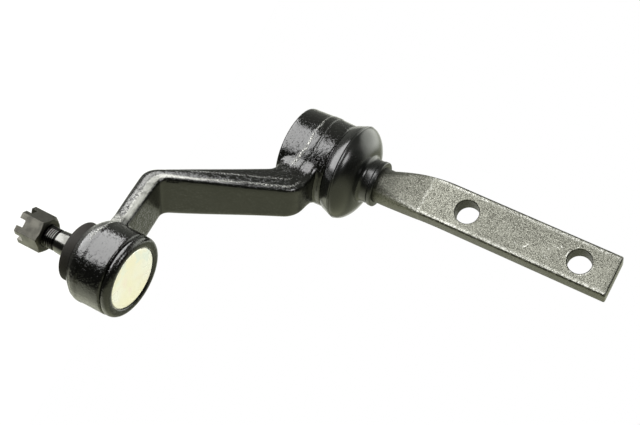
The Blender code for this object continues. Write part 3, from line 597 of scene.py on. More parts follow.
@dataclass(frozen=True)
class BlackPaint:
    """Gloss black paint over a pitted forged skin, worn along the dies' flash, with a painted glint on the
    flash's crests.
    """

    name: str = "gloss_black_paint"
    colour: Colour = (0.0018, 0.0018, 0.0016)
    dusty: Colour = (0.004, 0.0042, 0.0034)
    # The worn colour paints the worn bands and also the painted glint on the flash's crests.
    worn: Colour = (0.3, 0.3, 0.28)
    roughness: float = 0.1
    dull: float = 0.4
    band_dull: float = 0.12
    worn_metal: float = 0.5
    band_wear: float = 0.9
    score_wear: float = 0.08
    swell: Relief = Relief(14 * MM, 0.3 * MM)
    skin: Relief = Relief(3.0 * MM, 0.13 * MM)
    crinkle: Relief = Relief(1.3 * MM, 0.025 * MM)
    dashes: Relief = Relief(0.9 * MM, 0.12 * MM)
    cracks: Relief = Relief(1.5 * MM, 0.16 * MM)
    pimple_depth: float = 0.06 * MM
    pore_grain: float = 1.1 * MM
    patch_grain: float = 4.5 * MM
    streak_grain: float = 1.0 * MM
    streak_stretch: Triple = (0.1, 1.0, 1.0)
    streak_turn: Triple = (0.0, 38.0, -24.0)

    def lines(self, s: Shader, here: Socket) -> tuple[Socket, Socket, Socket]:
        """Find the fine marks of the flash and of the arm's root.

        Args:
            s: The material under construction.
            here: Object coordinates.

        Returns:
            The shares of the crests' painted glint, of cracks and pits, and of scores.
        """
        signed = s.attribute("edge")
        dashes = s.noise(here, self.dashes.grain, 4.0, 0.7)
        speck = s.noise(here, self.cracks.grain, 5.0, 0.7)
        pores = s.noise(here, self.pore_grain, 3.0, 0.6)
        streak = s.noise(s.place(self.streak_stretch, self.streak_turn), self.streak_grain, 3.0)
        # Painted glint: the flash's crests take the worn colour, partly bare metal and partly a painted
        # highlight.
        crest = s.times(s.higher(signed, 0.0), s.step(dashes, 0.44, 0.56))
        crack = s.times(s.higher(s.times(signed, -1.0), 0.0), s.step(speck, 0.38, 0.52))
        pitted = s.times(s.attribute("pits"), s.step(pores, 0.54, 0.62))
        scored = s.times(s.attribute("root"), s.step(streak, 0.55, 0.66))
        return crest, s.plus(pitted, crack), scored

    def material(self) -> bpy.types.Material:
        """Return the paint with its pits, streaks, worn flash and the painted glint on the flash's crests.

        Returns:
            The material.
        """
        s = Shader(self.name)
        here = s.place()
        band = s.attribute("band")
        swell = s.noise(here, self.swell.grain, 3.0)
        skin = s.noise(here, self.skin.grain, 5.0, 0.6)
        fine = s.noise(here, self.crinkle.grain, 3.0, 0.6)
        patches = s.step(s.noise(here, self.patch_grain, 5.0, 0.65), 0.25, 0.5, 0.45, 1.0)
        crest, sunk, scored = self.lines(s, here)
        # The crests' painted glint joins the worn bands at full strength.
        shown = s.plus(s.times(s.times(band, patches), self.band_wear), s.times(crest, 1.0))
        shown = s.plus(shown, s.times(scored, self.score_wear))
        shown = s.higher(s.lower(s.minus(shown, sunk), 1.0), 0.0)
        dust = s.mix(s.step(swell, 0.35, 0.75), self.colour, self.dusty)
        rough = s.plus(s.times(shown, self.dull - self.roughness),
                       s.step(skin, 0.3, 0.75, self.roughness - 0.03, self.roughness + 0.06))
        rough = s.plus(rough, s.times(band, self.band_dull))
        rumpled = s.times(fine, s.plus(s.times(band, 4.0), 0.4))
        normal = s.bump(swell, self.swell.depth)
        normal = s.bump(skin, self.skin.depth, normal)
        normal = s.bump(rumpled, self.crinkle.depth, normal)
        normal = s.bump(s.step(fine, 0.5, 0.72), self.pimple_depth, normal)
        normal = s.bump(s.times(sunk, -1.0), self.cracks.depth, normal)
        normal = s.bump(s.plus(crest, s.times(scored, 0.3)), self.dashes.depth, normal)
        return s.finish(s.mix(shown, dust, self.worn), s.times(shown, self.worn_metal), rough, normal)


@dataclass(frozen=True)
class BareForging:
    """Bare shot-blasted steel, olive grey and grainy, in the tang's own measures, with painted shade and
    highlights.
    """

    name: str = "bare_forging"
    colour: Colour = (0.12, 0.12, 0.1)
    pale: Colour = (0.275, 0.275, 0.238)
    stain: Colour = (0.045, 0.044, 0.035)
    # Colour of the painted highlight on the crease, the bands inside the edges and the scratch rings.
    bright: Colour = (0.62, 0.62, 0.58)
    # Colour of the painted shade.
    black: Colour = (0.02, 0.02, 0.016)
    roughness: float = 0.42
    metallic: float = 0.85
    grain: Relief = Relief(0.8 * MM, 0.16 * MM)
    patch: Relief = Relief(9 * MM, 0.1 * MM)
    speck_grain: float = 1.0 * MM
    speck_stretch: Triple = (1.1, 0.9, 1.0)
    ragged_grain: float = 1.6 * MM
    # Where the painted shade lies: edge roundings, hole walls, the shank and the sides.
    edge_band: Point = (11.4 * MM, 12.0 * MM)
    edge_start: Point = (-66 * MM, -54 * MM)
    end_band: Point = (53.8 * MM, 54.3 * MM)
    hole_z: float = 34.5 * MM
    wall_band: Point = (7.5 * MM, 7.1 * MM)
    shank_band: Point = (-66 * MM, -92 * MM)
    side_band: Point = (12.3 * MM, 12.65 * MM)
    # Where the bright marks lie: inside the long edges, along the crease as a painted highlight, and in
    # rings.
    rim_inner: Point = (9.2 * MM, 11.0 * MM)
    rim_outer: Point = (11.9 * MM, 11.5 * MM)
    crease_z: float = -60.4 * MM
    crease_band: Point = (1.0 * MM, 0.2 * MM)
    wander: Relief = Relief(6 * MM, 5 * MM)
    ring_band: Point = (0.5 * MM, 0.15 * MM)
    rings: tuple[Triple, ...] = ((1.5 * MM, 0.5 * MM, 4.6 * MM), (0.5 * MM, 18.5 * MM, 5.4 * MM),
                                 (1.0 * MM, 19.5 * MM, 3.4 * MM), (0.0, 34.5 * MM, 8.0 * MM))

    def material(self) -> bpy.types.Material:
        """Return the forging's grainy skin.

        Returns:
            The material.
        """
        s = Shader(self.name)
        here = s.place()
        grain = s.noise(here, self.grain.grain, 3.0, 0.6)
        patch = s.noise(here, self.patch.grain, 4.0, 0.6)
        speck = s.noise(s.place(self.speck_stretch), self.speck_grain, 4.0, 0.65)
        colour = s.mix(s.step(patch, 0.35, 0.7, 0.1, 0.4), self.colour, self.pale)
        colour = s.mix(s.step(speck, 0.5, 0.58, 0.0, 0.7), colour, self.stain)
        colour = s.mix(s.step(grain, 0.52, 0.6, 0.0, 0.85), colour, self.pale)
        # Painted highlight along the crease, with bright bands inside the edges and scratch rings.
        colour = s.mix(self.bright_marks_and_painted_highlight(s, speck), colour, self.bright)
        # Painted shade: hole walls, shank, sides and edge roundings go towards black.
        colour = s.mix(self.scale(s), colour, self.black)
        rough = s.step(grain, 0.3, 0.7, self.roughness - 0.08, self.roughness + 0.12)
        normal = s.bump(patch, self.patch.depth)
        normal = s.bump(s.minus(grain, speck), self.grain.depth, normal)
        return s.finish(colour, self.metallic, rough, normal)

    def scale(self, s: Shader) -> Socket:
        """Find the painted shade: hole walls, the shank, the sides, and dark lines on the rounded long and
        end edges.

        Args:
            s: The material under construction.

        Returns:
            The share of painted shade.
        """
        x, y, z = s.axes()
        width = s.absolute(x)
        front = s.step(s.times(y, -1.0), *self.edge_band)
        long_edge = s.times(s.times(front, s.step(width, *self.edge_band)), s.step(z, *self.edge_start))
        end_edge = s.times(front, s.step(z, *self.end_band))
        radius = s.length(x, s.minus(s.absolute(z), self.hole_z))
        wall = s.step(radius, *self.wall_band, 0.0, 0.96)
        foot = s.higher(s.step(z, *self.shank_band, 0.0, 0.8), s.step(width, *self.side_band, 0.0, 0.5))
        ragged = s.step(s.noise(s.place(), self.ragged_grain, 4.0, 0.65), 0.36, 0.5)
        edges = s.times(s.higher(long_edge, end_edge), ragged)
        return s.higher(s.higher(s.times(edges, 0.9), wall), foot)

    def bright_marks_and_painted_highlight(self, s: Shader, speck: Socket) -> Socket:
        """Find the bright marks: a band inside the long edges, a painted highlight along the crease, and
        scratch rings.

        Args:
            s: The material under construction.
            speck: The noise that breaks up the marks.

        Returns:
            The share of bright steel.
        """
        x, _, z = s.axes()
        width = s.absolute(x)
        rim = s.times(s.step(width, *self.rim_inner), s.step(width, *self.rim_outer))
        wander = s.noise(s.place(), self.wander.grain, 3.0)
        bent = s.plus(z, s.times(s.minus(wander, 0.5), self.wander.depth))
        crease = s.step(s.absolute(s.plus(bent, -self.crease_z)), *self.crease_band, 0.0, 0.3)
        marks = s.plus(s.times(rim, 0.5), crease)
        for across, along, size in self.rings:
            radius = s.length(s.minus(x, across), s.minus(z, along))
            off = s.absolute(s.minus(radius, size))
            arcs = s.times(s.step(off, *self.ring_band, 0.0, 0.8), s.step(wander, 0.48, 0.56))
            marks = s.plus(marks, arcs)
        return s.lower(s.times(marks, s.step(speck, 0.46, 0.53)), 0.85)


@dataclass(frozen=True)
class Rubber:
    """Moulded black rubber, more or less glossy."""

    name: str
    colour: Colour
    dusty: Colour
    roughness: float
    fine_depth: float
    specular: float = 0.5
    mottle: Relief = Relief(11 * MM, 0.12 * MM)
    fine_grain: float = 0.6 * MM

    def material(self) -> bpy.types.Material:
        """Return the rubber with its faint mottling.

        Returns:
            The material.
        """
        s = Shader(self.name)
        s.surface.inputs["Specular IOR Level"].default_value = self.specular
        here = s.place()
        mottle = s.noise(here, self.mottle.grain, 3.0)
        fine = s.noise(here, self.fine_grain, 3.0)
        colour = s.mix(s.step(mottle, 0.35, 0.7, 0.0, 0.8), self.colour, self.dusty)
        rough = s.step(mottle, 0.3, 0.7, self.roughness - 0.05, self.roughness + 0.07)
        normal = s.bump(mottle, self.mottle.depth)
        normal = s.bump(fine, self.fine_depth, normal)
        return s.finish(colour, 0.0, rough, normal)


@dataclass(frozen=True)
class Plating:
    """Pale gold plating with a faint film of colour."""

    name: str = "pale_plating"
    colour: Colour = (0.94, 0.93, 0.84)
    deep: Colour = (0.92, 0.88, 0.68)
    pink: Colour = (0.92, 0.81, 0.72)
    blue: Colour = (0.76, 0.86, 0.84)
    roughness: float = 0.3
    metallic: float = 0.35
    sheet: Relief = Relief(22 * MM, 0.08 * MM)
    fine: Relief = Relief(0.5 * MM, 0.006 * MM)
    film_grain: float = 13 * MM

    def material(self) -> bpy.types.Material:
        """Return the plating with its patches of film colour.

        Returns:
            The material.
        """
        s = Shader(self.name)
        here = s.place()
        sheet = s.noise(here, self.sheet.grain, 2.0)
        film = s.noise(here, self.film_grain, 3.0, 0.5, 0.6)
        fine = s.noise(here, self.fine.grain, 3.0)
        colour = s.mix(s.step(sheet, 0.35, 0.65), self.colour, self.deep)
        colour = s.mix(s.step(film, 0.56, 0.7, 0.0, 0.5), colour, self.pink)
        colour = s.mix(s.step(film, 0.46, 0.34, 0.0, 0.5), colour, self.blue)
        rough = s.step(sheet, 0.3, 0.7, self.roughness - 0.05, self.roughness + 0.08)
        normal = s.bump(sheet, self.sheet.depth)
        normal = s.bump(fine, self.fine.depth, normal)
        return s.finish(colour, self.metallic, rough, normal)


@dataclass(frozen=True)
class Steel:
    """Turned, ground or coated steel of one tone with fine marks round its axis."""

    name: str
    colour: Colour
    dark: Colour
    metallic: float
    roughness: float
    marks: Relief = Relief(0.5 * MM, 0.02 * MM)
    fine: Relief = Relief(0.5 * MM, 0.006 * MM)
    cloud_grain: float = 6 * MM
    stretch: Triple = (0.25, 0.25, 1.0)

    def tone(self, _: Shader, colour: Socket) -> Socket:
        """Return the colour as it is, where a steel has no darker places."""
        return colour

    def material(self) -> bpy.types.Material:
        """Return the steel with its machining marks.

        Returns:
            The material.
        """
        s = Shader(self.name)
        here = s.place()
        cloud = s.noise(here, self.cloud_grain, 4.0)
        marks = s.noise(s.place(self.stretch), self.marks.grain, 3.0)
        fine = s.noise(here, self.fine.grain, 3.0)
        colour = s.mix(s.step(cloud, 0.4, 0.7), self.colour, self.dark)
        colour = s.mix(s.step(fine, 0.55, 0.75, 0.0, 0.5), colour, self.dark)
        rough = s.step(cloud, 0.3, 0.7, self.roughness - 0.05, self.roughness + 0.08)
        normal = s.bump(marks, self.marks.depth)
        normal = s.bump(fine, self.fine.depth, normal)
        return s.finish(self.tone(s, colour), self.metallic, rough, normal)


@dataclass(frozen=True)
class StudSteel(Steel):
    """Ground steel whose thread gets painted shade in its grooves, between its crests."""

    # Colour of the painted shade in the thread's grooves.
    groove: Colour = (0.008, 0.008, 0.007)
    groove_edge: float = 0.35

    def tone(self, s: Shader, colour: Socket) -> Socket:
        """Paint shade into the thread's grooves.

        Args:
            s: The material under construction.
            colour: The plain steel's colour.

        Returns:
            The colour with its painted shade.
        """
        crisp = s.node("ShaderNodeMapRange")
        crisp.inputs["From Max"].default_value = self.groove_edge
        s.join(s.attribute("groove"), crisp.inputs["Value"])
        return s.mix(crisp.outputs["Result"], colour, self.groove)


@dataclass(frozen=True)
class BearingPlastic:
    """Natural bearing plastic."""

    name: str = "bearing_plastic"
    colour: Colour = (0.75, 0.72, 0.62)
    cloudy: Colour = (0.62, 0.58, 0.47)
    roughness: float = 0.45
    cloud_grain: float = 8 * MM

    def material(self) -> bpy.types.Material:
        """Return the plastic with a faint cloudiness.

        Returns:
            The material.
        """
        s = Shader(self.name)
        cloud = s.noise(s.place(), self.cloud_grain, 3.0)
        colour = s.mix(s.step(cloud, 0.35, 0.7, 0.0, 0.6), self.colour, self.cloudy)
        return s.finish(colour, 0.0, s.step(cloud, 0.3, 0.7, self.roughness - 0.05, self.roughness + 0.05))


BOOT_RUBBER = Rubber("satin_boot_rubber", (0.0025, 0.0027, 0.0025), (0.004, 0.0043, 0.004),
                     roughness=0.21, fine_depth=0.004 * MM)
SEAL_RUBBER = Rubber("matte_seal_rubber", (0.008, 0.007, 0.0055), (0.013, 0.0115, 0.009),
                     roughness=0.66, fine_depth=0.03 * MM, specular=0.12)
RING_RUBBER = Rubber("seal_ring_rubber", (0.03, 0.03, 0.03), (0.05, 0.05, 0.05),
                     roughness=0.5, fine_depth=0.02 * MM)
GROUND_STEEL = StudSteel("ground_steel", (0.085, 0.085, 0.08), (0.05, 0.05, 0.046),
                         metallic=1.0, roughness=0.2)
PHOSPHATE = Steel("dark_phosphate", (0.058, 0.056, 0.047), (0.032, 0.031, 0.026),
                  metallic=0.85, roughness=0.34, marks=Relief(0.5 * MM, 0.004 * MM))
SPRING_STEEL = Steel("dark_hardened_steel", (0.2, 0.2, 0.21), (0.1, 0.1, 0.1),
                     metallic=0.9, roughness=0.38)
PLUG_PAINT = Steel("painted_plug", (0.018, 0.018, 0.017), (0.03, 0.03, 0.028),
                   metallic=0.0, roughness=0.2, marks=Relief(0.5 * MM, 0.01 * MM))


# Sub-assemblies


def register(obj: bpy.types.Object, body: Body, node: str, material: bpy.types.Material) -> None:
    """Dress a piece, put it on its body and let it stand for its CAD node.

    Args:
        obj: The piece.
        body: The body that it rides on.
        node: The CAD node that it replaces.
        material: Its material.
    """
    obj.data.materials.clear()
    obj.data.materials.append(material)
    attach(obj, body.value)
    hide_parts(node)
    LOG.info("%s rides on %s, %d faces", obj.name, body.value, len(obj.data.polygons))


def waver(place: Vector, layers: Sequence[Relief]) -> float:
    """Return a wavering distance at a place, the sum of its layers of noise."""
    return sum(layer.depth * noise.noise(place / layer.grain) for layer in layers)


@dataclass(frozen=True)
class Spot:
    """One place on the arm's skin, as its wear depends on it.

    reach runs along the arm, gap is the height over the parting line, inset the depth below the
    bar's top edge, bearing an angle in degrees about the ball, and the eyes and side are shares.
    """

    reach: float
    side: float
    near: float
    gap: float
    inset: float
    bearing: float
    pivot_eye: float
    ball_eye: float

    @property
    def bar(self) -> float:
        """Return 1 on the bar, falling to 0 on both eyes."""
        return (1.0 - self.ball_eye) * (1.0 - self.pivot_eye)


@dataclass(frozen=True)
class FlashWear:
    """Where the paint is worn along the dies' flash, and where its crests get a painted glint. A pair is
    where a change starts and ends.
    """

    bright_inset: float = 3.0 * MM
    bright_half_mm: Point = (0.3, 1.3)
    bright_widens: Point = (67 * MM, 82 * MM)
    bright_from: Point = (54 * MM, 66 * MM)
    bright_edge: float = 0.5 * MM
    dim_share: float = 0.35
    dim_from: Point = (72 * MM, 79 * MM)
    dim_inset: tuple[Point, Point] = ((3.9 * MM, 4.6 * MM), (7.8 * MM, 8.4 * MM))
    eye_bearing: tuple[Point, Point] = ((-112.0, -96.0), (60.0, 90.0))
    back_gap: Point = (1.4 * MM, 0.2 * MM)
    back_bearing: Point = (-68.0, -42.0)
    back_shares: Point = (0.25, 0.75)
    leg: tuple[Point, Point] = ((88 * MM, 96 * MM), (112 * MM, 118 * MM))
    leg_inset: Point = (3.4 * MM, 4.6 * MM)
    # The flash's crest lines, which get a painted glint, and the crack beside the pivot's line.
    housing_line: Point = (1.0 * MM, 0.8 * MM)
    upper: tuple[Point, Point] = ((32 * MM, 42 * MM), (60 * MM, 68 * MM))
    upper_line: Point = (3.6 * MM, 0.8 * MM)
    lower_line: Point = (9.0 * MM, 0.45 * MM)
    lower_line_share: float = 0.8
    pivot_line: float = -2.4 * MM
    pivot_line_half_mm: Point = (0.5, 1.3)
    pivot_line_widens: Point = (8 * MM, 22 * MM)
    pivot_crack: Point = (2.6 * MM, 0.45 * MM)
    root: tuple[Point, Point] = ((22 * MM, 30 * MM), (44 * MM, 58 * MM))
    root_facing: Point = (0.3, 0.7)

    @staticmethod
    def within(value: float, rise: Point, fall: Point) -> float:
        """Return 1 between a rise and a fall, changing smoothly over both."""
        return smooth_step(*rise, value) * (1.0 - smooth_step(*fall, value))

    @staticmethod
    def ridge(value: float, middle: float, width: float) -> float:
        """Return 1 at a middle value, falling to 0 at a width from it."""
        return 1.0 - smooth_step(width * 0.4, width, abs(value - middle))

    def worn_eye(self, spot: Spot) -> float:
        """Return how far a place is in the worn stretch round the ball housing."""
        return spot.ball_eye * self.within(spot.bearing, *self.eye_bearing)

    def back(self, spot: Spot) -> float:
        """Return the wear below the housing's parting line.

        Args:
            spot: The place.

        Returns:
            Its wear, 0 to 1.
        """
        least, gain = self.back_shares
        worn = self.worn_eye(spot) * smooth_step(*self.back_gap, spot.gap)
        return worn * (least + gain * smooth_step(*self.back_bearing, spot.bearing))

    def band(self, spot: Spot) -> float:
        """Return the wear of the flash's broad bands.

        Args:
            spot: The place.

        Returns:
            Its wear, 0 to 1.
        """
        least, gain = self.bright_half_mm
        half = (least + gain * smooth_step(*self.bright_widens, spot.reach)) * MM
        off = abs(spot.inset - self.bright_inset)
        bright = 1.0 - smooth_step(half, half + self.bright_edge, off)
        bright *= smooth_step(*self.bright_from, spot.reach)
        dim = self.dim_share * self.within(spot.inset, *self.dim_inset)
        dim *= smooth_step(*self.dim_from, spot.reach)
        return spot.side * max(spot.bar * max(bright, dim), self.back(spot))

    def pits(self, spot: Spot) -> float:
        """Return where pits break through the bands."""
        leg = self.within(spot.reach, *self.leg) * smooth_step(*self.leg_inset, spot.inset)
        return spot.side * max(leg, self.back(spot))

    def edge(self, spot: Spot) -> float:
        """Return the fine lines of the flash: crests with a painted glint, and a crack.

        Args:
            spot: The place.

        Returns:
            1 on a crest with its painted glint, -1 in a crack, 0 elsewhere.
        """
        housing = self.worn_eye(spot) * self.ridge(spot.gap, *self.housing_line)
        upper = spot.bar * smooth_step(*self.upper[0], spot.reach)
        upper *= 1.0 - smooth_step(*self.upper[1], spot.reach)
        lines = upper * (self.ridge(spot.inset, *self.upper_line)
                         + self.lower_line_share * self.ridge(spot.inset, *self.lower_line))
        least, gain = self.pivot_line_half_mm
        half = (least + gain * smooth_step(*self.pivot_line_widens, spot.reach)) * MM
        eye = spot.pivot_eye * (self.ridge(spot.gap, self.pivot_line, half)
                                - self.ridge(spot.gap, *self.pivot_crack))
        return spot.side * max(-1.0, min(1.0, housing + lines + eye))

    def scored(self, spot: Spot) -> float:
        """Return where the root's near side is scored."""
        return self.within(spot.reach, *self.root) * smooth_step(*self.root_facing, spot.near)


@dataclass
class ForgedArm:
    """The dropped arm: a bar between two eyes, forged in one piece and bored.

    A side is three half widths, one at each station. A knee is (reach, rise, radius): the upper
    ones lie from the pivot's frame, the lower ones from the ball. A pair of rises is top, bottom.
    """

    voxel: float = 0.75 * MM
    smoothing: int = 7
    near_side: Triple = (12.2 * MM, 13.3 * MM, 14.0 * MM)
    far_side: Triple = (11.0 * MM, 16.5 * MM, 17.8 * MM)
    side_stations: Triple = (45.0 * MM, 77.0 * MM, 97.0 * MM)
    widening: Point = (12 * MM, 4 * MM)
    tip_reach: float = 13.9 * MM
    tip_rises: Point = (0.6 * MM, -10.4 * MM)
    lower_knees: tuple[Triple, Triple] = ((60.5 * MM, -7.5 * MM, 5.0 * MM),
                                          (63.4 * MM, -21.1 * MM, 10.0 * MM))
    upper_knees: tuple[Triple, Triple] = ((43.2 * MM, 26.1 * MM, 13.0 * MM), (32.0 * MM, 3.1 * MM, 6.0 * MM))
    root_reach: float = 16.0 * MM
    root_rises: Point = (27.2 * MM, 2.5 * MM)
    bend_steps: int = 8
    straight_steps: int = 8
    edge_steps: int = 4
    edge_radius: float = 2.9 * MM
    far_radius: float = 5.0 * MM
    draft: float = 0.6 * MM
    root_fillet: float = 10.0 * MM
    tip_fillet: float = 8.0 * MM
    pivot_radius: float = 26.4 * MM
    pivot_height: float = 31.4 * MM
    pivot_draft: float = 0.5 * MM
    pivot_flash: float = 17.9 * MM
    pivot_chamfer: Point = (1.6 * MM, 0.9 * MM)
    spigot_radius: float = 23.5 * MM
    spigot_top: float = 36.6 * MM
    housing_radius: float = 23.9 * MM
    housing_top: float = 13.9 * MM
    housing_flash: float = -4.6 * MM
    housing_back: float = -11.8 * MM
    back_step: Point = (1.3 * MM, 3.4 * MM)
    back_radius: float = 19.4 * MM
    lip_root: tuple[Point, ...] = ((22.2 * MM, 12.4 * MM), (22.9 * MM, 14.0 * MM), (23.0 * MM, 14.35 * MM))
    lip_shoulder: Point = (0.5 * MM, 14.7 * MM)
    lip_wall: Point = (0.3 * MM, 15.1 * MM)
    lip_crest: Point = (20.5 * MM, 3.5 * MM)
    lip_fullness: float = 0.85
    lip_steps: int = 10
    lip_inside: tuple[Point, ...] = ((19.6 * MM, 18.55 * MM), (18.8 * MM, 18.35 * MM),
                                     (18.4 * MM, 18.0 * MM), (18.4 * MM, 17.2 * MM))
    plate_seat: float = 20.8 * MM
    bush_bore: float = 14 * MM
    bush_shoulder: float = 19 * MM
    chamber: float = 19.5 * MM
    plug_bore: float = 21.2 * MM
    plug_heights: Point = (3.7 * MM, 1.1 * MM)
    plug_mouth: Point = (20.2 * MM, 0.7 * MM)
    ball_chamber: float = 15.5 * MM
    ball_heights: Point = (15.1 * MM, -7.5 * MM)
    throat: Point = (10.6 * MM, -9 * MM)
    throat_mouth: Point = (12.8 * MM, -11.8 * MM)
    pivot_cut: Point = (40 * MM, -3 * MM)
    ball_cut: Point = (24 * MM, -14 * MM)
    flash_height: float = 0.4 * MM
    flash_edge: Point = (2.3 * MM, 3.1 * MM)
    flash_waver: tuple[Relief, ...] = (Relief(9 * MM, 0.5 * MM), Relief(2.4 * MM, 0.25 * MM))
    flash_grain: float = 1.6 * MM
    flash_rough: float = 0.12
    flash_shares: Point = (0.6, 0.2)
    wear_waver: tuple[Relief, ...] = (Relief(8 * MM, 0.5 * MM), Relief(2.2 * MM, 0.35 * MM))
    facing: Point = (0.6, 0.85)
    bar_start: Point = (28 * MM, 36 * MM)
    pivot_eye_edge: Point = (27 * MM, 30 * MM)
    ball_eye_edge: Point = (25 * MM, 30 * MM)
    parting_ends: Point = (60 * MM, -60 * MM)
    parting_eyes: Point = (18 * MM, 18 * MM)
    parting_bar: Point = (24 * MM, 30 * MM)
    steps: int = 160

    def bar_edge(self, corners: Sequence[Triple]) -> list[Vector]:
        """Return one long edge of the bar's side view, evenly divided between its bends.

        Args:
            corners: Its two ends with the two knees between them.

        Returns:
            The edge's points.
        """
        points = [Vector(point) for point in eased(corners, count=self.bend_steps)]
        dense = []
        for index, (a, b) in enumerate(zip(points, points[1:])):
            pieces = self.straight_steps if index % (self.bend_steps + 1) == 0 else 1
            dense += [a.lerp(b, i / pieces) for i in range(pieces)]
        return dense + [points[-1]]

    def long_edges(self) -> tuple[list[Vector], list[Vector]]:
        """Draw the bar's side view in the plane of the arm, from ball to pivot.

        Returns:
            The points of its upper and of its lower edge.
        """
        length, drop = PLACES.arm_length, PLACES.ball_drop
        edges = []
        knees = zip(self.lower_knees, self.upper_knees)
        for tip, (lower, upper), root in zip(self.tip_rises, knees, self.root_rises):
            edges.append(self.bar_edge((
                (length - self.tip_reach, tip - drop, 0.0), (length - lower[0], lower[1] - drop, lower[2]),
                upper, (self.root_reach, root, 0.0))))
        return edges[0], edges[1]

    def side(self, reach: float, widths: Triple) -> float:
        """Return the half width of one side of the bar at a distance from the pivot.

        Args:
            reach: Distance along the arm.
            widths: Half widths at the three stations.

        Returns:
            The half width, with the fillets into both eyes.
        """
        first, second, third = self.side_stations
        before, after = self.widening
        if reach <= second:
            width = widths[0] + (widths[1] - widths[0]) * smooth_step(first - before, second + after, reach)
        else:
            width = widths[1] + (widths[2] - widths[1]) * min(1.0, (reach - second) / (third - second))
        return max(self.flare(reach, self.pivot_radius, width, self.root_fillet),
                   self.flare(PLACES.arm_length - reach, self.housing_radius, width, self.tip_fillet))

    @staticmethod
    def flare(distance: float, eye: float, width: float, fillet: float) -> float:
        """Return the half width near an eye, where a fillet leads into the eye's wall.

        Args:
            distance: Distance from the eye's axis.
            eye: The eye's radius.
            width: Half width of the plain bar.
            fillet: The fillet's radius.

        Returns:
            The half width.
        """
        side = width + fillet
        reach = eye + fillet
        along = math.sqrt(reach * reach - side * side)
        if distance >= along:
            return width
        if distance <= along * eye / reach:
            return side * eye / reach
        return side - math.sqrt(fillet * fillet - (along - distance) ** 2)

    def section(self, top: Vector, bottom: Vector) -> list[Vector]:
        """Return one rounded cross-section of the bar in the arm's frame.

        Args:
            top: Its top in the bar's side view.
            bottom: Its bottom.

        Returns:
            The section's points.
        """
        middle = (top + bottom) / 2
        up = (top - bottom) / 2
        height = up.length
        up.normalize()
        reach = middle.x
        far = self.side(reach, self.far_side)
        near = self.side(reach, self.near_side)
        crown = self.draft
        edge, blunt = self.edge_radius, self.far_radius
        corners = ((far - crown, height, edge), (far, 0.0, 0.0), (far - crown, -height, edge),
                   (crown - near, -height, blunt), (-near, 0.0, 0.0), (crown - near, height, edge))
        return [Vector((middle.x + up.x * rise, across, middle.y + up.y * rise))
                for across, rise in eased(corners, closed=True, count=self.edge_steps)]

    def pivot_form(self) -> bmesh.types.BMesh:
        """Return the outer form of the pivot eye with its spigot."""
        r, h, chamfer = self.pivot_radius, self.pivot_height, self.pivot_chamfer
        return spun(eased((
            (0.0, self.spigot_top, 0.0), (self.spigot_radius, self.spigot_top, 0.5 * MM),
            (self.spigot_radius, h, 0.0), (r - self.pivot_draft, h, 0.6 * MM), (r, self.pivot_flash, 0.0),
            (r - self.pivot_draft, chamfer[1], 0.4 * MM), (r - chamfer[0], 0.0, 0.4 * MM), (0.0, 0.0, 0.0),
        )), self.steps)

    def ball_form(self) -> bmesh.types.BMesh:
        """Return the outer form of the ball housing below its crimped lip."""
        r, top, step = self.housing_radius, self.housing_top, self.back_step
        return spun(eased((
            (0.0, top, 0.0), (r, top, 0.7 * MM), (r, self.housing_flash, 0.0),
            (r - step[0], self.housing_flash - step[1], 2.0 * MM),
            (self.back_radius, self.housing_back, 0.8 * MM), (0.0, self.housing_back, 0.0),
        )), self.steps)

    def lip_form(self) -> bmesh.types.BMesh:
        """Return the crimped lip: a crisp ring with a fine groove at its foot.

        Returns:
            The lip's closed ring.
        """
        wall, foot = self.housing_radius - self.lip_wall[0], self.lip_wall[1]
        crest, rise = self.lip_crest
        outline = [*self.lip_root, (self.housing_radius - self.lip_shoulder[0], self.lip_shoulder[1])]
        outline.append((wall, foot))
        for i in range(1, self.lip_steps + 1):
            angle = math.pi / 2 * i / self.lip_steps
            outline.append((crest + (wall - crest) * math.cos(angle) ** self.lip_fullness,
                            foot + rise * math.sin(angle) ** self.lip_fullness))
        outline += self.lip_inside
        outline += [(self.plate_seat, self.lip_inside[-1][1]), (self.plate_seat, self.lip_root[0][1])]
        return spun(outline, self.steps, ring=True)

    def pivot_bore(self) -> bmesh.types.BMesh:
        """Return what is bored out of the pivot eye: the bush's seat, the chamber and the plug's seat.

        Returns:
            The cutter.
        """
        over, under = self.pivot_cut
        plug_top, plug_foot = self.plug_heights
        mouth, mouth_edge = self.plug_mouth
        return spun([(0.0, over), (self.bush_bore, over), (self.bush_bore, self.bush_shoulder),
                     (self.chamber, self.bush_shoulder), (self.chamber, plug_top), (self.plug_bore, plug_top),
                     (self.plug_bore, plug_foot), (mouth, mouth_edge), (mouth, under), (0.0, under)],
                    self.steps)

    def ball_bore(self) -> bmesh.types.BMesh:
        """Return what is bored out of the ball housing: the plate's seat, the chamber and the throat.

        Returns:
            The cutter.
        """
        over, under = self.ball_cut
        seat, foot = self.ball_heights
        neck, mouth = self.throat, self.throat_mouth
        return spun([(0.0, over), (self.plate_seat, over), (self.plate_seat, seat), (self.ball_chamber, seat),
                     (self.ball_chamber, foot), (neck[0], foot), neck, mouth, (mouth[0], under),
                     (0.0, under)], self.steps)

    def parting(self) -> list[Vector]:
        """Draw the dies' parting line in the plane of the arm, from ball to pivot.

        Returns:
            Its points.
        """
        top, bottom = self.long_edges()
        length = PLACES.arm_length
        level = self.housing_flash - PLACES.ball_drop
        line = [Vector((length + self.parting_ends[0], level)),
                Vector((length - self.parting_eyes[1], level))]
        for upper, lower in zip(top, bottom):
            middle = (upper + lower) / 2
            if self.parting_bar[0] < middle.x < length - self.parting_bar[1]:
                line.append(middle)
        return line + [Vector((self.parting_eyes[0], self.pivot_flash)),
                       Vector((self.parting_ends[1], self.pivot_flash))]

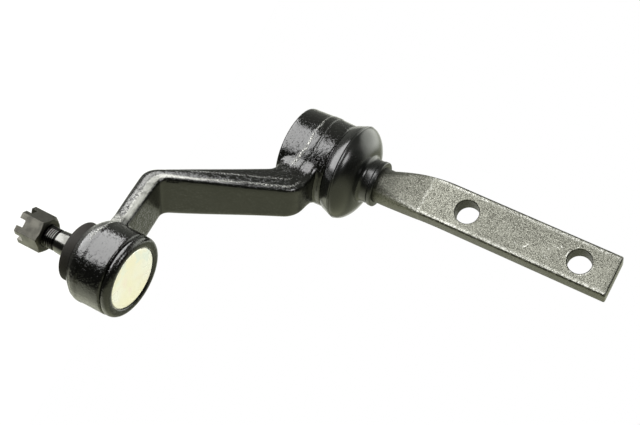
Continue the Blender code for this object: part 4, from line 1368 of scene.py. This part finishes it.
    @staticmethod
    def from_line(point: Vector, line: Sequence[Vector]) -> float:
        """Return the signed distance of a point from a line of points, positive above it.

        Args:
            point: The point.
            line: The line's points.

        Returns:
            The distance.
        """
        best = 1.0
        for a, b in zip(line, line[1:]):
            along = b - a
            share = max(0.0, min(1.0, (point - a).dot(along) / along.length_squared))
            gap = point - (a + along * share)
            if gap.length < abs(best):
                best = math.copysign(gap.length, -(along.x * gap.y - along.y * gap.x))
        return best

    def from_eyes(self, u: float, v: float) -> float:
        """Return how far a place in the arm's plan lies from the nearer eye's axis."""
        return min(math.hypot(u, v), math.hypot(u - PLACES.arm_length, v))

    def sideways(self, vert: bpy.types.MeshVertex) -> float:
        """Return how squarely a point of the skin faces the forging's sides.

        Args:
            vert: The point.

        Returns:
            A share, 0 to 1.
        """
        out = abs(vert.normal.y)
        if self.from_eyes(vert.co.x, vert.co.y) < self.bar_start[0]:
            out = math.hypot(vert.normal.x, vert.normal.y)
        return smooth_step(*self.facing, out)

    def trim_flash(self, mesh: bpy.types.Mesh, line: Sequence[Vector]) -> None:
        """Raise the band that the trimmed flash leaves round the forging's sides.

        Args:
            mesh: The arm's mesh, in the arm's frame.
            line: The parting line.
        """
        moves = []
        eye_share, less = self.flash_shares
        for vert in mesh.vertices:
            gap = self.from_line(Vector((vert.co.x, vert.co.z)), line)
            band = 1.0 - smooth_step(*self.flash_edge, abs(gap + waver(vert.co, self.flash_waver)))
            bar = smooth_step(*self.bar_start, self.from_eyes(vert.co.x, vert.co.y))
            rough = self.flash_rough * noise.noise(vert.co / self.flash_grain)
            height = self.flash_height * (eye_share - less * bar) * band * self.sideways(vert)
            moves.append(vert.normal * (height * (1.0 + rough)))
        for vert, move in zip(mesh.vertices, moves):
            vert.co += move

    def spot(self, vert: bpy.types.MeshVertex, line: Sequence[Vector], corner: Sequence[Vector]) -> Spot:
        """Measure a point of the skin for its wear.

        Args:
            vert: The point, in the arm's frame.
            line: The parting line.
            corner: The bar's upper edge.

        Returns:
            The place.
        """
        u, v, w = vert.co
        off = waver(vert.co, self.wear_waver)
        from_ball = PLACES.arm_length - u
        return Spot(
            reach=u, side=self.sideways(vert), near=-vert.normal.y,
            gap=self.from_line(Vector((u, w)), line) + off,
            inset=off - self.from_line(Vector((u, w)), corner),
            bearing=math.degrees(math.atan2(v, from_ball)),
            pivot_eye=1.0 - smooth_step(*self.pivot_eye_edge, math.hypot(u, v)),
            ball_eye=1.0 - smooth_step(*self.ball_eye_edge, math.hypot(-from_ball, v)))

    def mark(self, mesh: bpy.types.Mesh, line: Sequence[Vector]) -> None:
        """Write where the worn bands, the crest lines of painted glint, the scored root and the pits lie to
        attributes.

        Args:
            mesh: The arm's mesh, in the arm's frame.
            line: The parting line.
        """
        corner = self.long_edges()[0]
        wear = FlashWear()
        rules = {"band": wear.band, "edge": wear.edge, "root": wear.scored, "pits": wear.pits}
        layers = {name: mesh.attributes.new(name, "FLOAT", "POINT").data for name in rules}
        for index, vert in enumerate(mesh.vertices):
            spot = self.spot(vert, line, corner)
            for name, rule in rules.items():
                layers[name][index].value = rule(spot)

    def build(self) -> bpy.types.Object:
        """Forge, smooth, bore and crimp the arm.

        Returns:
            The finished piece.
        """
        top, bottom = self.long_edges()
        ball = Matrix.Translation((PLACES.arm_length, 0.0, -PLACES.ball_drop))
        arm = as_object("arm_forging", lofted([self.section(a, b) for a, b in zip(top, bottom)]))
        for name, form, frame in (("pivot_form", self.pivot_form(), Matrix.Identity(4)),
                                  ("ball_form", self.ball_form(), ball)):
            boolean(arm, as_object(name, form, frame), Operation.UNITE)
        settle(arm, [bpy.data.objects["pivot_form"], bpy.data.objects["ball_form"]])
        remesh = arm.modifiers.new("even", "REMESH")
        remesh.mode = "VOXEL"
        remesh.voxel_size = self.voxel
        relax = arm.modifiers.new("relax", "SMOOTH")
        relax.factor = 0.5
        relax.iterations = self.smoothing
        settle(arm)
        line = self.parting()
        self.trim_flash(arm.data, line)
        lip = as_object("lip_form", self.lip_form(), ball)
        bores = [as_object("pivot_bore", self.pivot_bore()), as_object("ball_bore", self.ball_bore(), ball)]
        for bore in bores:
            boolean(arm, bore)
        settle(arm, bores)
        boolean(arm, lip, Operation.UNITE)
        settle(arm, [lip])
        shade(arm, 40.0)
        self.mark(arm.data, line)
        arm.data.transform(PLACES.arm_frame())
        arm.data.update()
        return arm

    def dress(self) -> None:
        """Build the arm, paint it and let it stand for its node."""
        register(self.build(), Body.ARM, "idler_arm", BlackPaint().material())


@dataclass
class PivotBoot:
    """Rubber boot: conical band, sharp ridge, bell and a neck with a thicker lip."""

    base: float = 31.4 * MM
    height: float = 26.4 * MM
    band_radius: float = 26.7 * MM
    ridge_radius: float = 29.3 * MM
    ridge_height: float = 7.6 * MM
    neck_radius: float = 13.5 * MM
    lip_radius: float = 13.9 * MM
    lip_bore: float = 11.0 * MM
    neck_length: float = 9.1 * MM
    wall: float = 2.2 * MM
    grip: float = 23.8 * MM
    curve: float = 1.6
    lip_edge: float = 0.5 * MM
    lip_foot: Point = (2.2 * MM, 3.2 * MM)
    neck_fillet: float = 2.4 * MM
    fillet_end: float = 258.0
    grip_top: float = 5.4 * MM
    foot: float = 0.3 * MM
    band_foot: tuple[Point, Point] = ((0.15 * MM, 0.7 * MM), (-0.3 * MM, 0.3 * MM))
    shoulder: Point = (0.3 * MM, 0.5 * MM)
    ridge_steps: tuple[Point, ...] = ((-0.15 * MM, 0.15 * MM), (0.0, -0.1 * MM), (-0.2 * MM, -0.5 * MM),
                                      (-0.55 * MM, -0.75 * MM), (-0.4 * MM, -1.3 * MM))
    steps: int = 160

    def build(self) -> bpy.types.Object:
        """Spin the boot's wall.

        Returns:
            The finished piece.
        """
        top = self.height - self.neck_length
        fillet = self.neck_fillet
        ridge, level = self.ridge_radius, self.ridge_height
        outer = eased((
            (self.lip_bore, self.height, 0.0), (self.lip_radius, self.height, self.lip_edge),
            (self.lip_radius, self.height - self.lip_foot[0], self.lip_edge),
            (self.neck_radius, self.height - self.lip_foot[1], 0.8 * MM),
            (self.neck_radius, top + fillet, 0.0)))
        outer += arc((self.neck_radius + fillet, top + fillet), fillet, 180.0, self.fillet_end, 6)[1:]
        outer += bell(ridge - self.shoulder[0], top, level + self.shoulder[1],
                      self.neck_radius + fillet, self.curve, 28)[::-1][1:]
        outer += [(ridge + out, level + up) for out, up in self.ridge_steps]
        outer += [(self.band_radius + out, up) for out, up in self.band_foot]
        inner = [(self.grip, self.foot), (self.grip, self.grip_top)]
        inner += bell(ridge - self.wall, top - self.wall, level, self.lip_bore, self.curve, 20)
        profile = [(radius, self.base + height) for radius, height in outer + inner]
        boot = as_object("boot_shell", spun(profile, self.steps, ring=True), PLACES.arm_frame())
        shade(boot, 30.0)
        return boot

    def dress(self) -> None:
        """Build the boot and let it stand for its node."""
        register(self.build(), Body.ARM, "pivot_boot", BOOT_RUBBER.material())


@dataclass
class StudSeal:
    """Rubber cup between the housing's back and the stud's taper."""

    base: float = -12.1 * MM
    height: float = 9.7 * MM
    radius: float = 17.4 * MM
    straight: float = 5.9 * MM
    wall: float = 2.2 * MM
    curve: float = 1.4
    neck_radius: float = 8.2 * MM
    lip: tuple[Point, Point] = ((7.5 * MM, 0.1 * MM), (7.25 * MM, 0.6 * MM))
    bulge: tuple[Point, Point] = ((0.1 * MM, 1.2 * MM), (-0.05 * MM, 3.5 * MM))
    lip_rise: float = 0.35 * MM
    bend: Point = (0.5 * MM, 2.6 * MM)
    steps: int = 128

    def build(self) -> bpy.types.Object:
        """Spin the seal's wall.

        Returns:
            The finished piece.
        """
        end = self.base - self.height
        shoulder = self.base - self.straight
        inside = self.radius - self.wall
        outer = [(self.radius, self.base)]
        outer += [(self.radius + out, self.base - down) for out, down in self.bulge]
        outer += bell(self.radius, end + self.lip_rise, shoulder, self.neck_radius, self.curve, 18)
        outer += [(radius, end + up) for radius, up in self.lip]
        inner = bell(inside, end + self.wall, shoulder, self.lip[0][0], self.curve, 14)[::-1]
        profile = outer + inner + [(inside, self.base)]
        seal = as_object("stud_seal", spun(profile, self.steps, ring=True), PLACES.ball_frame())
        shade(seal, 35.0)
        return seal

    def dress(self) -> None:
        """Build the seal, give it its rubber and let it stand for its node."""
        seal = self.build()
        seal.data.materials.append(SEAL_RUBBER.material())
        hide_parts("stud_dust_seal")
        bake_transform(seal)
        LOG.info("%s bends between %s and %s", seal.name, Body.SEAT.value, Body.SEAL.value)


@dataclass
class ThreadedStud:
    """Ball stud: ball, neck, ground taper and a rolled thread with a cross hole."""

    ball_radius: float = 11.5 * MM
    ball_flat: float = 4.0 * MM
    neck_radius: float = 6.8 * MM
    taper_top: float = -16.5 * MM
    taper_radius: float = 7.5 * MM
    taper_bottom: float = -31.3 * MM
    thread_radius: float = 6.35 * MM
    core_radius: float = 5.62 * MM
    tip: float = -50.6 * MM
    pitch: float = 1.27 * MM
    turn_steps: int = 32
    neck_foot: Point = (3.6 * MM, 1.5 * MM)
    taper_lip: float = 0.12 * MM
    relief: Point = (0.7 * MM, 0.9 * MM)
    tip_chamfer: float = 0.9 * MM
    tooth_half: float = 0.44
    crest_half: float = 0.13
    tooth_root: float = 0.25 * MM
    run_out: Point = (0.8 * MM, 0.2 * MM)
    hole_radius: float = 1.8 * MM
    hole_rise: float = 4.6 * MM
    hole_turn: float = math.radians(8.0)
    # Where the thread's painted groove shade starts, and how far inside the crests it reaches.
    groove_start: float = 0.3 * MM
    groove_depth: float = 0.06 * MM
    steps: int = 96

    def shaft(self) -> bmesh.types.BMesh:
        """Return the stud without its thread.

        Returns:
            The turned form.
        """
        start = math.degrees(math.acos(self.ball_flat / self.ball_radius))
        stop = -math.degrees(math.acos(self.neck_radius / self.ball_radius))
        profile = [(0.0, self.ball_radius * math.sin(math.radians(start)))]
        profile += arc((0.0, 0.0), self.ball_radius, start, stop, 24)
        core, neck, tip = self.core_radius, self.neck_radius, self.tip
        top, bottom = self.taper_top, self.taper_bottom
        profile += eased((
            (neck, top + self.neck_foot[0], 0.0), (neck, top + self.neck_foot[1], 1.5 * MM),
            (self.taper_radius, top, 0.6 * MM), (self.thread_radius + self.taper_lip, bottom, 0.1 * MM),
            (core, bottom - self.relief[0], 0.3 * MM), (core, tip + self.tip_chamfer, 0.2 * MM),
            (core - self.tip_chamfer, tip, 0.1 * MM), (0.0, tip, 0.0)))
        return spun(profile, self.steps)

    def thread(self) -> bmesh.types.BMesh:
        """Return the thread's tooth, swept along its helix with both ends run out.

        Returns:
            The tooth's closed form.
        """
        bm = bmesh.new()
        top = self.taper_bottom - self.relief[1]
        turns = (top - self.tip - self.run_out[0]) / self.pitch
        half = self.pitch * self.tooth_half
        flat = self.crest_half * self.pitch
        inner = self.core_radius - self.tooth_root
        crest = self.thread_radius
        outline = ((inner, half), (self.core_radius, half), (crest, flat),
                   (crest, -flat), (self.core_radius, -half), (inner, -half))
        verts = [bm.verts.new((radius, 0.0, top + rise)) for radius, rise in outline]
        face = bm.faces.new(verts)
        count = int(self.turn_steps * turns)
        bmesh.ops.spin(bm, geom=[face], cent=(0.0, 0.0, 0.0), axis=(0.0, 0.0, 1.0),
                       angle=math.tau * turns, dvec=(0.0, 0.0, -turns * self.pitch / count), steps=count,
                       use_merge=False, use_duplicate=False)
        fade = 0.5 * self.pitch
        for vert in bm.verts:
            radius = math.hypot(vert.co.x, vert.co.y)
            share = min(1.0, (top + half - vert.co.z) / fade / 2,
                        (vert.co.z - self.tip - self.run_out[1]) / fade / 2)
            if radius > inner and share < 1.0:
                wanted = inner + (radius - inner) * max(0.3, share)
                vert.co.x *= wanted / radius
                vert.co.y *= wanted / radius
        bmesh.ops.recalc_face_normals(bm, faces=bm.faces)
        return bm

    def build(self) -> bpy.types.Object:
        """Join the shaft and the thread, then drill the cross hole.

        Returns:
            The finished piece, with its grooves marked for painted shade.
        """
        frame = PLACES.ball_frame()
        stud = as_object("threaded_stud", self.shaft(), frame)
        tooth = as_object("thread_form", self.thread(), frame)
        hole_frame = (frame @ Matrix.Translation((0.0, 0.0, self.tip + self.hole_rise))
                      @ Matrix.Rotation(self.hole_turn, 4, "Z") @ Matrix.Rotation(math.pi / 2, 4, "Y"))
        bm = bmesh.new()
        bmesh.ops.create_cone(bm, cap_ends=True, segments=32, radius1=self.hole_radius,
                              radius2=self.hole_radius, depth=26 * MM)
        hole = as_object("hole_form", bm, hole_frame)
        boolean(stud, tooth, Operation.UNITE)
        boolean(stud, hole)
        settle(stud, [tooth, hole])
        shade(stud, 28.0)
        # Mark the thread's grooves, which the steel fills with painted shade.
        groove = stud.data.attributes.new("groove", "FLOAT", "POINT").data
        back = frame.inverted()
        for index, vert in enumerate(stud.data.vertices):
            place = back @ vert.co
            threaded = place.z < self.taper_bottom - self.groove_start
            deep = math.hypot(place.x, place.y) < self.thread_radius - self.groove_depth
            groove[index].value = 1.0 if threaded and deep else 0.0
        return stud

    def dress(self) -> None:
        """Build the stud and let it stand for its node."""
        register(self.build(), Body.STUD, "ball_stud", GROUND_STEEL.material())


@dataclass
class SlottedNut:
    """Slotted hexagon nut with a chamfered bearing end."""

    flats: float = 19.05 * MM
    height: float = 15.6 * MM
    seat: float = -39.4 * MM
    slot_width: float = 4.4 * MM
    slot_depth: float = 4.0 * MM
    turn: float = math.radians(8.0)
    bore: float = 6.65 * MM
    slope: float = 0.55
    face_inset: float = 0.4 * MM
    slot_count: int = 3
    slot_fillet: float = 0.7 * MM
    bore_flare: float = 3.4 * MM
    bore_edge: Point = (3 * MM, 0.4 * MM)
    spare: float = 2 * MM
    edge: float = 0.16 * MM
    steps: int = 144

    def slot_form(self, corner: float) -> bmesh.types.BMesh:
        """Return the cutter of one pair of slots, rounded at its floor.

        Args:
            corner: Half the nut's width over its corners.

        Returns:
            The cutter.
        """
        bm = bmesh.new()
        bmesh.ops.create_cube(bm, size=1.0)
        bmesh.ops.scale(bm, verts=bm.verts, vec=(4 * corner, self.slot_width, 2 * self.slot_depth))
        edges = [edge for edge in bm.edges if all(vert.co.z > 0 for vert in edge.verts)
                 and abs(edge.verts[0].co.y - edge.verts[1].co.y) < MM]
        bmesh.ops.bevel(bm, geom=edges, offset=self.slot_fillet, affect="EDGES", segments=3,
                        profile=0.5, material=-1)
        return bm

    def build(self) -> bpy.types.Object:
        """Cut the nut from a hexagon bar.

        Returns:
            The finished piece.
        """
        frame = PLACES.ball_frame() @ Matrix.Rotation(self.turn, 4, "Z")
        corner = self.flats / 2 / math.cos(math.pi / 6)
        seat, end, spare = self.seat, self.seat - self.height, self.spare
        bm = bmesh.new()
        bmesh.ops.create_cone(bm, cap_ends=True, segments=6, radius1=corner, radius2=corner,
                              depth=self.height)
        middle = Matrix.Translation((0.0, 0.0, seat - self.height / 2))
        nut = as_object("slotted_nut", bm, frame @ middle)
        face = self.flats / 2 - self.face_inset
        crown = corner - face
        tools = [as_object("chamfer_form", spun([
            (0.0, seat + spare), (face - spare / self.slope, seat + spare),
            (face + 2 * crown, seat - 2 * crown * self.slope),
            (face + 2 * crown, end - spare), (0.0, end - spare)], self.steps), frame)]
        boolean(nut, tools[0], Operation.SHARE)
        for i in range(self.slot_count):
            turn = Matrix.Rotation(i * math.pi / self.slot_count, 4, "Z")
            slot_frame = frame @ Matrix.Translation((0.0, 0.0, end)) @ turn
            tools.append(as_object("slot_form_%d" % i, self.slot_form(corner), slot_frame))
            boolean(nut, tools[-1])
        over, depth = self.bore_edge
        wide = self.bore + self.bore_flare
        tools.append(as_object("bore_form", spun([
            (0.0, seat + over), (wide, seat + over), (self.bore, seat - depth), (self.bore, end + depth),
            (wide, end - over), (0.0, end - over)], self.steps), frame))
        boolean(nut, tools[-1])
        settle(nut, tools)
        soften(nut, self.edge, 2, 30.0)
        shade(nut, 15.0)
        return nut

    def dress(self) -> None:
        """Build the nut and let it stand for its node."""
        register(self.build(), Body.STUD, "castle_nut", PHOSPHATE.material())


@dataclass
class PlateDisc:
    """Plated disc under the crimped lip, slightly dished."""

    face: float = 18.0 * MM
    face_radius: float = 17.9 * MM
    rim_radius: float = 20.5 * MM
    rim_top: float = 16.9 * MM
    under: float = 15.4 * MM
    wall: float = 1.6 * MM
    dish: tuple[Point, ...] = ((0.0, 0.25 * MM), (6 * MM, 0.2 * MM), (12 * MM, 0.08 * MM),
                               (14 * MM, 0.02 * MM))
    face_edge: float = 0.7 * MM
    edge: float = 0.3 * MM
    inner_edge: float = 0.4 * MM
    steps: int = 128

    def build(self) -> bpy.types.Object:
        """Spin the plate.

        Returns:
            The finished piece.
        """
        inner = self.face_radius - self.wall
        rise, below = self.face, self.face - self.wall
        edge = self.edge
        profile = [(across, rise - depth) for across, depth in self.dish]
        profile += eased((
            (self.dish[-1][0], rise - self.dish[-1][1], 0.0), (self.face_radius, rise, self.face_edge),
            (self.face_radius, self.rim_top, edge), (self.rim_radius, self.rim_top, edge),
            (self.rim_radius, self.under, edge), (inner, self.under, self.inner_edge),
            (inner - self.inner_edge, below, edge), (0.0, below, 0.0)))[1:]
        plate = as_object("plate_disc", spun(profile, self.steps), PLACES.ball_frame())
        shade(plate, 30.0)
        return plate

    def dress(self) -> None:
        """Build the plate and let it stand for its node."""
        register(self.build(), Body.ARM, "cover_plate", Plating().material())


@dataclass
class ForgedBracket:
    """Pivot shaft, collar, round shank and flat tang with two bolt holes, in one forging."""

    width: float = 25.4 * MM
    thickness: float = 12.7 * MM
    edge: float = 1.5 * MM
    hole_radius: float = 7.0 * MM
    hole_z: float = 34.5 * MM
    tang_end: float = 54.9 * MM
    crease: float = -60.9 * MM
    blend_start: float = -84.0 * MM
    flare_end: float = -46.5 * MM
    offset: float = 4.3 * MM
    shank: float = 10.7 * MM
    collar_radius: float = 16.0 * MM
    collar_height: float = 4.4 * MM
    journal: float = 10.0 * MM
    thread: float = 7.9 * MM
    thread_length: float = 7.7 * MM
    thread_chamfer: float = 0.8 * MM
    spigot_top: float = 36.6 * MM
    collar_gap: float = 2.1 * MM
    journal_foot: float = 11.6 * MM
    journal_gap: float = 0.3 * MM
    collar_slope: float = 2.65 * MM
    ledge: float = 0.01 * MM
    flat_steps: int = 4
    end_chamfer: Point = (0.25 * MM, 0.8 * MM)
    rim_flare: float = 3.5 * MM
    rim_over: float = 3 * MM
    rim_depth: float = 0.5 * MM
    corner_steps: int = 9
    blend_steps: int = 44

    def section(self, z: float, left: float, right: float, half_depth: float, corner: float) -> list[Vector]:
        """Return one section: a rectangle with corners of any roundness.

        Args:
            z: Its height.
            left: Lowest x.
            right: Highest x.
            half_depth: Half its depth.
            corner: Radius of its corners.

        Returns:
            Its points.
        """
        middle = (left + right) / 2
        half_width = (right - left) / 2
        flat = 1.0 - corner / min(half_width, half_depth)
        full = 90.0 * self.corner_steps / (self.corner_steps + 1)
        span = full + (90.0 - full) * min(1.0, flat * 4.0)
        points = []
        for x, y, angle in ((1, 1, 45.0), (-1, 1, 135.0), (-1, -1, 225.0), (1, -1, 315.0)):
            centre = (middle + x * (half_width - corner), y * (half_depth - corner) - self.thickness / 2)
            for px, py in arc(centre, corner, angle - span / 2, angle + span / 2, self.corner_steps):
                points.append(Vector((px, py, z)))
        return points

    def round(self, z: float, radius: float) -> list[Vector]:
        """Return a round section about the pivot axis."""
        return self.section(z, self.offset - radius, self.offset + radius, radius, radius)

    def blend(self, z: float) -> list[Vector]:
        """Return a section between the round shank and the flat tang.

        Args:
            z: Its height.

        Returns:
            Its points.
        """
        share = (z - self.blend_start) / (self.flare_end - self.blend_start)
        flare = math.sin(share * math.pi / 2)
        half = self.width / 2
        left = (self.offset - self.shank) * (1.0 - flare) - half * flare
        right = (self.offset + self.shank) * (1.0 - flare) + half * flare
        flat = min(1.0, (z - self.blend_start) / (self.crease - self.blend_start))
        depth = self.shank + (self.thickness / 2 - self.shank) * flat
        corner = self.edge + (self.shank - self.edge) * (1.0 - flat) ** 1.4
        return self.section(z, left, right, depth, min(corner, depth))

    def build(self) -> bpy.types.Object:
        """Loft the forging and drill its holes.

        Returns:
            The finished piece.
        """
        eye, ledge, slim = PLACES.pivot.z, self.ledge, self.thread_chamfer
        collar = eye + self.spigot_top + self.collar_gap
        journal_end = eye + self.journal_foot + self.journal_gap
        shaft_end = journal_end - self.thread_length
        top = collar + self.collar_height
        sections = [self.round(z, radius) for z, radius in (
            (shaft_end, self.thread - slim), (shaft_end + slim, self.thread), (journal_end, self.thread),
            (journal_end + ledge, self.journal), (collar, self.journal), (collar + ledge, self.collar_radius),
            (top, self.collar_radius), (top + self.collar_slope, self.shank))]
        for i in range(self.blend_steps + 1):
            z = self.blend_start + (self.flare_end - self.blend_start) * i / self.blend_steps
            sections.append(self.blend(z))
        half, depth, end = self.width / 2, self.thickness / 2, self.tang_end
        nip, inset = self.end_chamfer
        for i in range(1, self.flat_steps + 1):
            z = self.flare_end + (end - inset - self.flare_end) * (i / self.flat_steps)
            sections.append(self.section(z, -half, half, depth, self.edge))
        sections.append(self.section(end - nip, nip - half, half - nip, depth - nip, self.edge - 0.2 * MM))
        sections.append(self.section(end, inset - half, half - inset, depth - inset, self.edge - inset / 2))
        bracket = as_object("bracket_forging", lofted(sections))
        holes = []
        rim, wide, over = self.hole_radius, self.hole_radius + self.rim_flare, self.rim_over
        for name, z in (("inner_hole", -self.hole_z), ("outer_hole", self.hole_z)):
            form = spun([(0.0, depth + over), (wide, depth + over), (rim, depth - self.rim_depth),
                         (rim, self.rim_depth - depth), (wide, -depth - over), (0.0, -depth - over)], 96)
            frame = Matrix.Translation((0.0, -depth, z)) @ Matrix.Rotation(math.pi / 2, 4, "X")
            holes.append(as_object(name, form, frame))
            boolean(bracket, holes[-1])
        settle(bracket, holes)
        shade(bracket, 25.0)
        return bracket

    def dress(self) -> None:
        """Build the bracket and let it stand for its node."""
        register(self.build(), Body.BRACKET, "bracket", BareForging().material())


@dataclass
class InnerPieces:
    """The bushes, washers, springs, seats, nut, seal ring and plug that keep their solids."""

    plastic: tuple[str, ...] = ("upper_bush", "lower_bush", "upper_thrust_washer", "lower_thrust_washer",
                                "lower_ball_seat", "pressure_seat")
    steel: tuple[str, ...] = ("upper_disc_spring", "lower_disc_spring", "nut_washer", "shaft_nut",
                              "ball_seat_spring")

    def dress(self, nodes: dict[str, bpy.types.Object]) -> None:
        """Give every kept solid its procedural finish.

        Args:
            nodes: The frame's nodes by name.
        """
        finishes = ((self.plastic, BearingPlastic().material()), (self.steel, SPRING_STEEL.material()),
                    (("shaft_seal_ring",), RING_RUBBER.material()), (("end_plug",), PLUG_PAINT.material()))
        for names, material in finishes:
            for name in names:
                nodes[name].data.materials.clear()
                nodes[name].data.materials.append(material)
                LOG.info("%s keeps its solid, finish %s", name, material.name)


# Studio


@dataclass(frozen=True)
class Patch:
    """A soft patch of the surround: its direction, the cosines where it starts and is full, its light."""

    towards: Triple
    wide: float
    tight: float
    light: Colour


@dataclass(frozen=True)
class Lamp:
    """A soft box facing the object: a reflected one shows in gloss, a soft one lights matte skins."""

    name: str
    towards: Triple
    distance: float
    size: Point
    power: float
    reflected: bool = True
    soft: bool = True


@dataclass(frozen=True)
class Studio:
    """Camera, lamps, world and floor. Directions are across, up and towards the camera."""

    eye: Vector = Vector((0.18295, -0.65681, 0.11914))
    right: Vector = Vector((-0.47500, 0.19917, 0.85715))
    up: Vector = Vector((-0.85465, -0.33648, -0.39543))
    back: Vector = Vector((0.20966, -0.92039, 0.33004))
    lens: float = 67.5
    sensor: float = 36.0
    nearest: float = 0.01
    centre: Vector = Vector((0.05, -0.035, -0.09))
    floor_place: Triple = (0.05, -0.03, -0.6)
    floor_half: float = 0.8
    floor_tones: tuple[Colour, Colour] = ((0.93, 0.93, 0.92), (0.95, 0.95, 0.94))
    floor_grain: float = 0.3
    floor_glow: float = 1.15
    floor_share: float = 0.8
    white: Colour = (1.0, 1.0, 1.0)
    surround: Colour = (0.06, 0.06, 0.052)
    patches: tuple[Patch, ...] = (
        Patch((0.0, -1.0, 0.0), 0.42, 0.74, (0.95, 0.98, 0.68)),
        Patch((0.0, 1.0, 0.0), -0.02, 0.45, (0.36, 0.37, 0.33)),
        Patch((-0.69, -0.6, -0.41), 0.76, 0.94, (1.6, 1.63, 1.3)),
        Patch((0.6, -0.1, -0.79), 0.72, 0.95, (0.5, 0.52, 0.38)),
        Patch((0.8, 0.45, -0.38), 0.76, 0.95, (3.2, 3.28, 3.0)),
        Patch((0.0, 0.0, -1.0), 0.84, 0.94, (1.1, 1.12, 1.0)),
        Patch((-0.95, 0.1, 0.0), 0.8, 0.95, (0.08, 0.08, 0.07)),
    )
    lamps: tuple[Lamp, ...] = (
        Lamp("key_box", (-0.64, 0.71, 0.28), 0.36, (0.41, 0.4), 4.5, soft=False),
        Lamp("key_glow", (-0.45, 0.75, 0.48), 0.5, (0.4, 0.4), 2.6, reflected=False),
        Lamp("fill_box", (0.4, 0.275, 0.875), 0.34, (0.15, 0.15), 0.7, soft=False),
        Lamp("side_glow", (0.86, -0.36, 0.36), 0.7, (0.5, 0.5), 4.2, reflected=False),
    )

    def direction(self, across: float, rise: float, near: float) -> Vector:
        """Return a world direction from one seen from the camera's place."""
        return (self.right * across + self.up * rise + self.back * near).normalized()

    def camera(self) -> None:
        """Make the camera of the photograph's view."""
        data = bpy.data.cameras.new("camera")
        data.lens = self.lens
        data.sensor_width = self.sensor
        data.clip_start = self.nearest
        obj = bpy.data.objects.new("camera", data)
        turn = Matrix((self.right, self.up, self.back)).transposed().to_4x4()
        obj.matrix_world = Matrix.Translation(self.eye) @ turn
        bpy.context.scene.collection.objects.link(obj)
        bpy.context.scene.camera = obj

    def hang(self, lamp: Lamp) -> None:
        """Hang a soft box.

        Args:
            lamp: Its place, size and power in metres and watts.
        """
        data = bpy.data.lights.new(lamp.name, "AREA")
        data.shape = "RECTANGLE"
        data.size, data.size_y = lamp.size
        data.energy = lamp.power
        obj = bpy.data.objects.new(lamp.name, data)
        obj.visible_camera = False
        obj.visible_glossy = lamp.reflected
        obj.visible_diffuse = lamp.soft
        way = self.direction(*lamp.towards)
        across = self.back.cross(way).normalized()
        turn = Matrix((across, way.cross(across), way)).transposed().to_4x4()
        obj.matrix_world = Matrix.Translation(self.centre + way * lamp.distance) @ turn
        bpy.context.scene.collection.objects.link(obj)

    def world(self) -> None:
        """Surround the object with a dim light and brighter patches, and the camera with white."""
        world = bpy.data.worlds.new("surround")
        bpy.context.scene.world = world
        world.use_nodes = True
        tree = world.node_tree
        path = tree.nodes.new("ShaderNodeLightPath")
        coordinates = tree.nodes.new("ShaderNodeTexCoord")
        colour: Socket | None = None
        for patch in self.patches:
            dot = tree.nodes.new("ShaderNodeVectorMath")
            dot.operation = "DOT_PRODUCT"
            tree.links.new(coordinates.outputs["Generated"], dot.inputs[0])
            dot.inputs[1].default_value = self.direction(*patch.towards)
            ramp = tree.nodes.new("ShaderNodeMapRange")
            ramp.interpolation_type = "SMOOTHSTEP"
            tree.links.new(dot.outputs["Value"], ramp.inputs["Value"])
            ramp.inputs["From Min"].default_value = patch.wide
            ramp.inputs["From Max"].default_value = patch.tight
            colour = self.mixed(tree, ramp.outputs["Result"], colour, patch.light)
        seen = self.mixed(tree, path.outputs["Is Camera Ray"], colour, self.white)
        tree.links.new(seen, tree.nodes["Background"].inputs["Color"])

    def mixed(self, tree: bpy.types.NodeTree, share: Socket, below: Socket | None, above: Colour) -> Socket:
        """Lay a colour over what the world shows so far.

        Args:
            tree: The world's nodes.
            share: The colour's share.
            below: What the world shows so far, or None for the plain surround.
            above: The colour.

        Returns:
            The new colour's socket.
        """
        node = tree.nodes.new("ShaderNodeMix")
        node.data_type = "RGBA"
        tree.links.new(share, node.inputs[0])
        if below is None:
            node.inputs[6].default_value = (*self.surround, 1.0)
        else:
            tree.links.new(below, node.inputs[6])
        node.inputs[7].default_value = (*above, 1.0)
        return node.outputs[2]

    def floor(self) -> None:
        """Lay the pale floor below the object, as a stage that throws no light back on it."""
        bm = bmesh.new()
        bmesh.ops.create_grid(bm, x_segments=1, y_segments=1, size=self.floor_half)
        floor = as_object("floor", bm, Matrix.Translation(self.floor_place))
        s = Shader("pale_floor")
        path = s.node("ShaderNodeLightPath")
        s.finish(s.mix(s.noise(s.place(), self.floor_grain, 2.0), *self.floor_tones), 0.0, 0.7)
        glow = s.node("ShaderNodeEmission")
        glow.inputs["Strength"].default_value = self.floor_glow
        mixed = s.node("ShaderNodeMixShader")
        s.join(s.times(path.outputs["Is Camera Ray"], self.floor_share), mixed.inputs[0])
        s.join(s.surface.outputs[0], mixed.inputs[1])
        s.join(glow.outputs[0], mixed.inputs[2])
        s.join(mixed.outputs[0], s.tree.nodes["Material Output"].inputs["Surface"])
        floor.data.materials.append(s.material)
        floor.visible_shadow = False
        floor.visible_diffuse = False
        floor.visible_glossy = False

    def build(self) -> None:
        """Set up the whole studio."""
        bpy.context.scene.view_settings.view_transform = "Standard"
        self.camera()
        self.world()
        self.floor()
        for lamp in self.lamps:
            self.hang(lamp)
        LOG.info("studio ready")


def main() -> None:
    """Build every sub-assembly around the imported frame."""
    logging.basicConfig(level=logging.INFO, format="%(name)s: %(message)s")
    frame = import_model()
    ForgedArm().dress()
    PivotBoot().dress()
    StudSeal().dress()
    ThreadedStud().dress()
    SlottedNut().dress()
    PlateDisc().dress()
    ForgedBracket().dress()
    InnerPieces().dress(frame["nodes"])
    Studio().build()


if __name__ == "__main__":
    main()
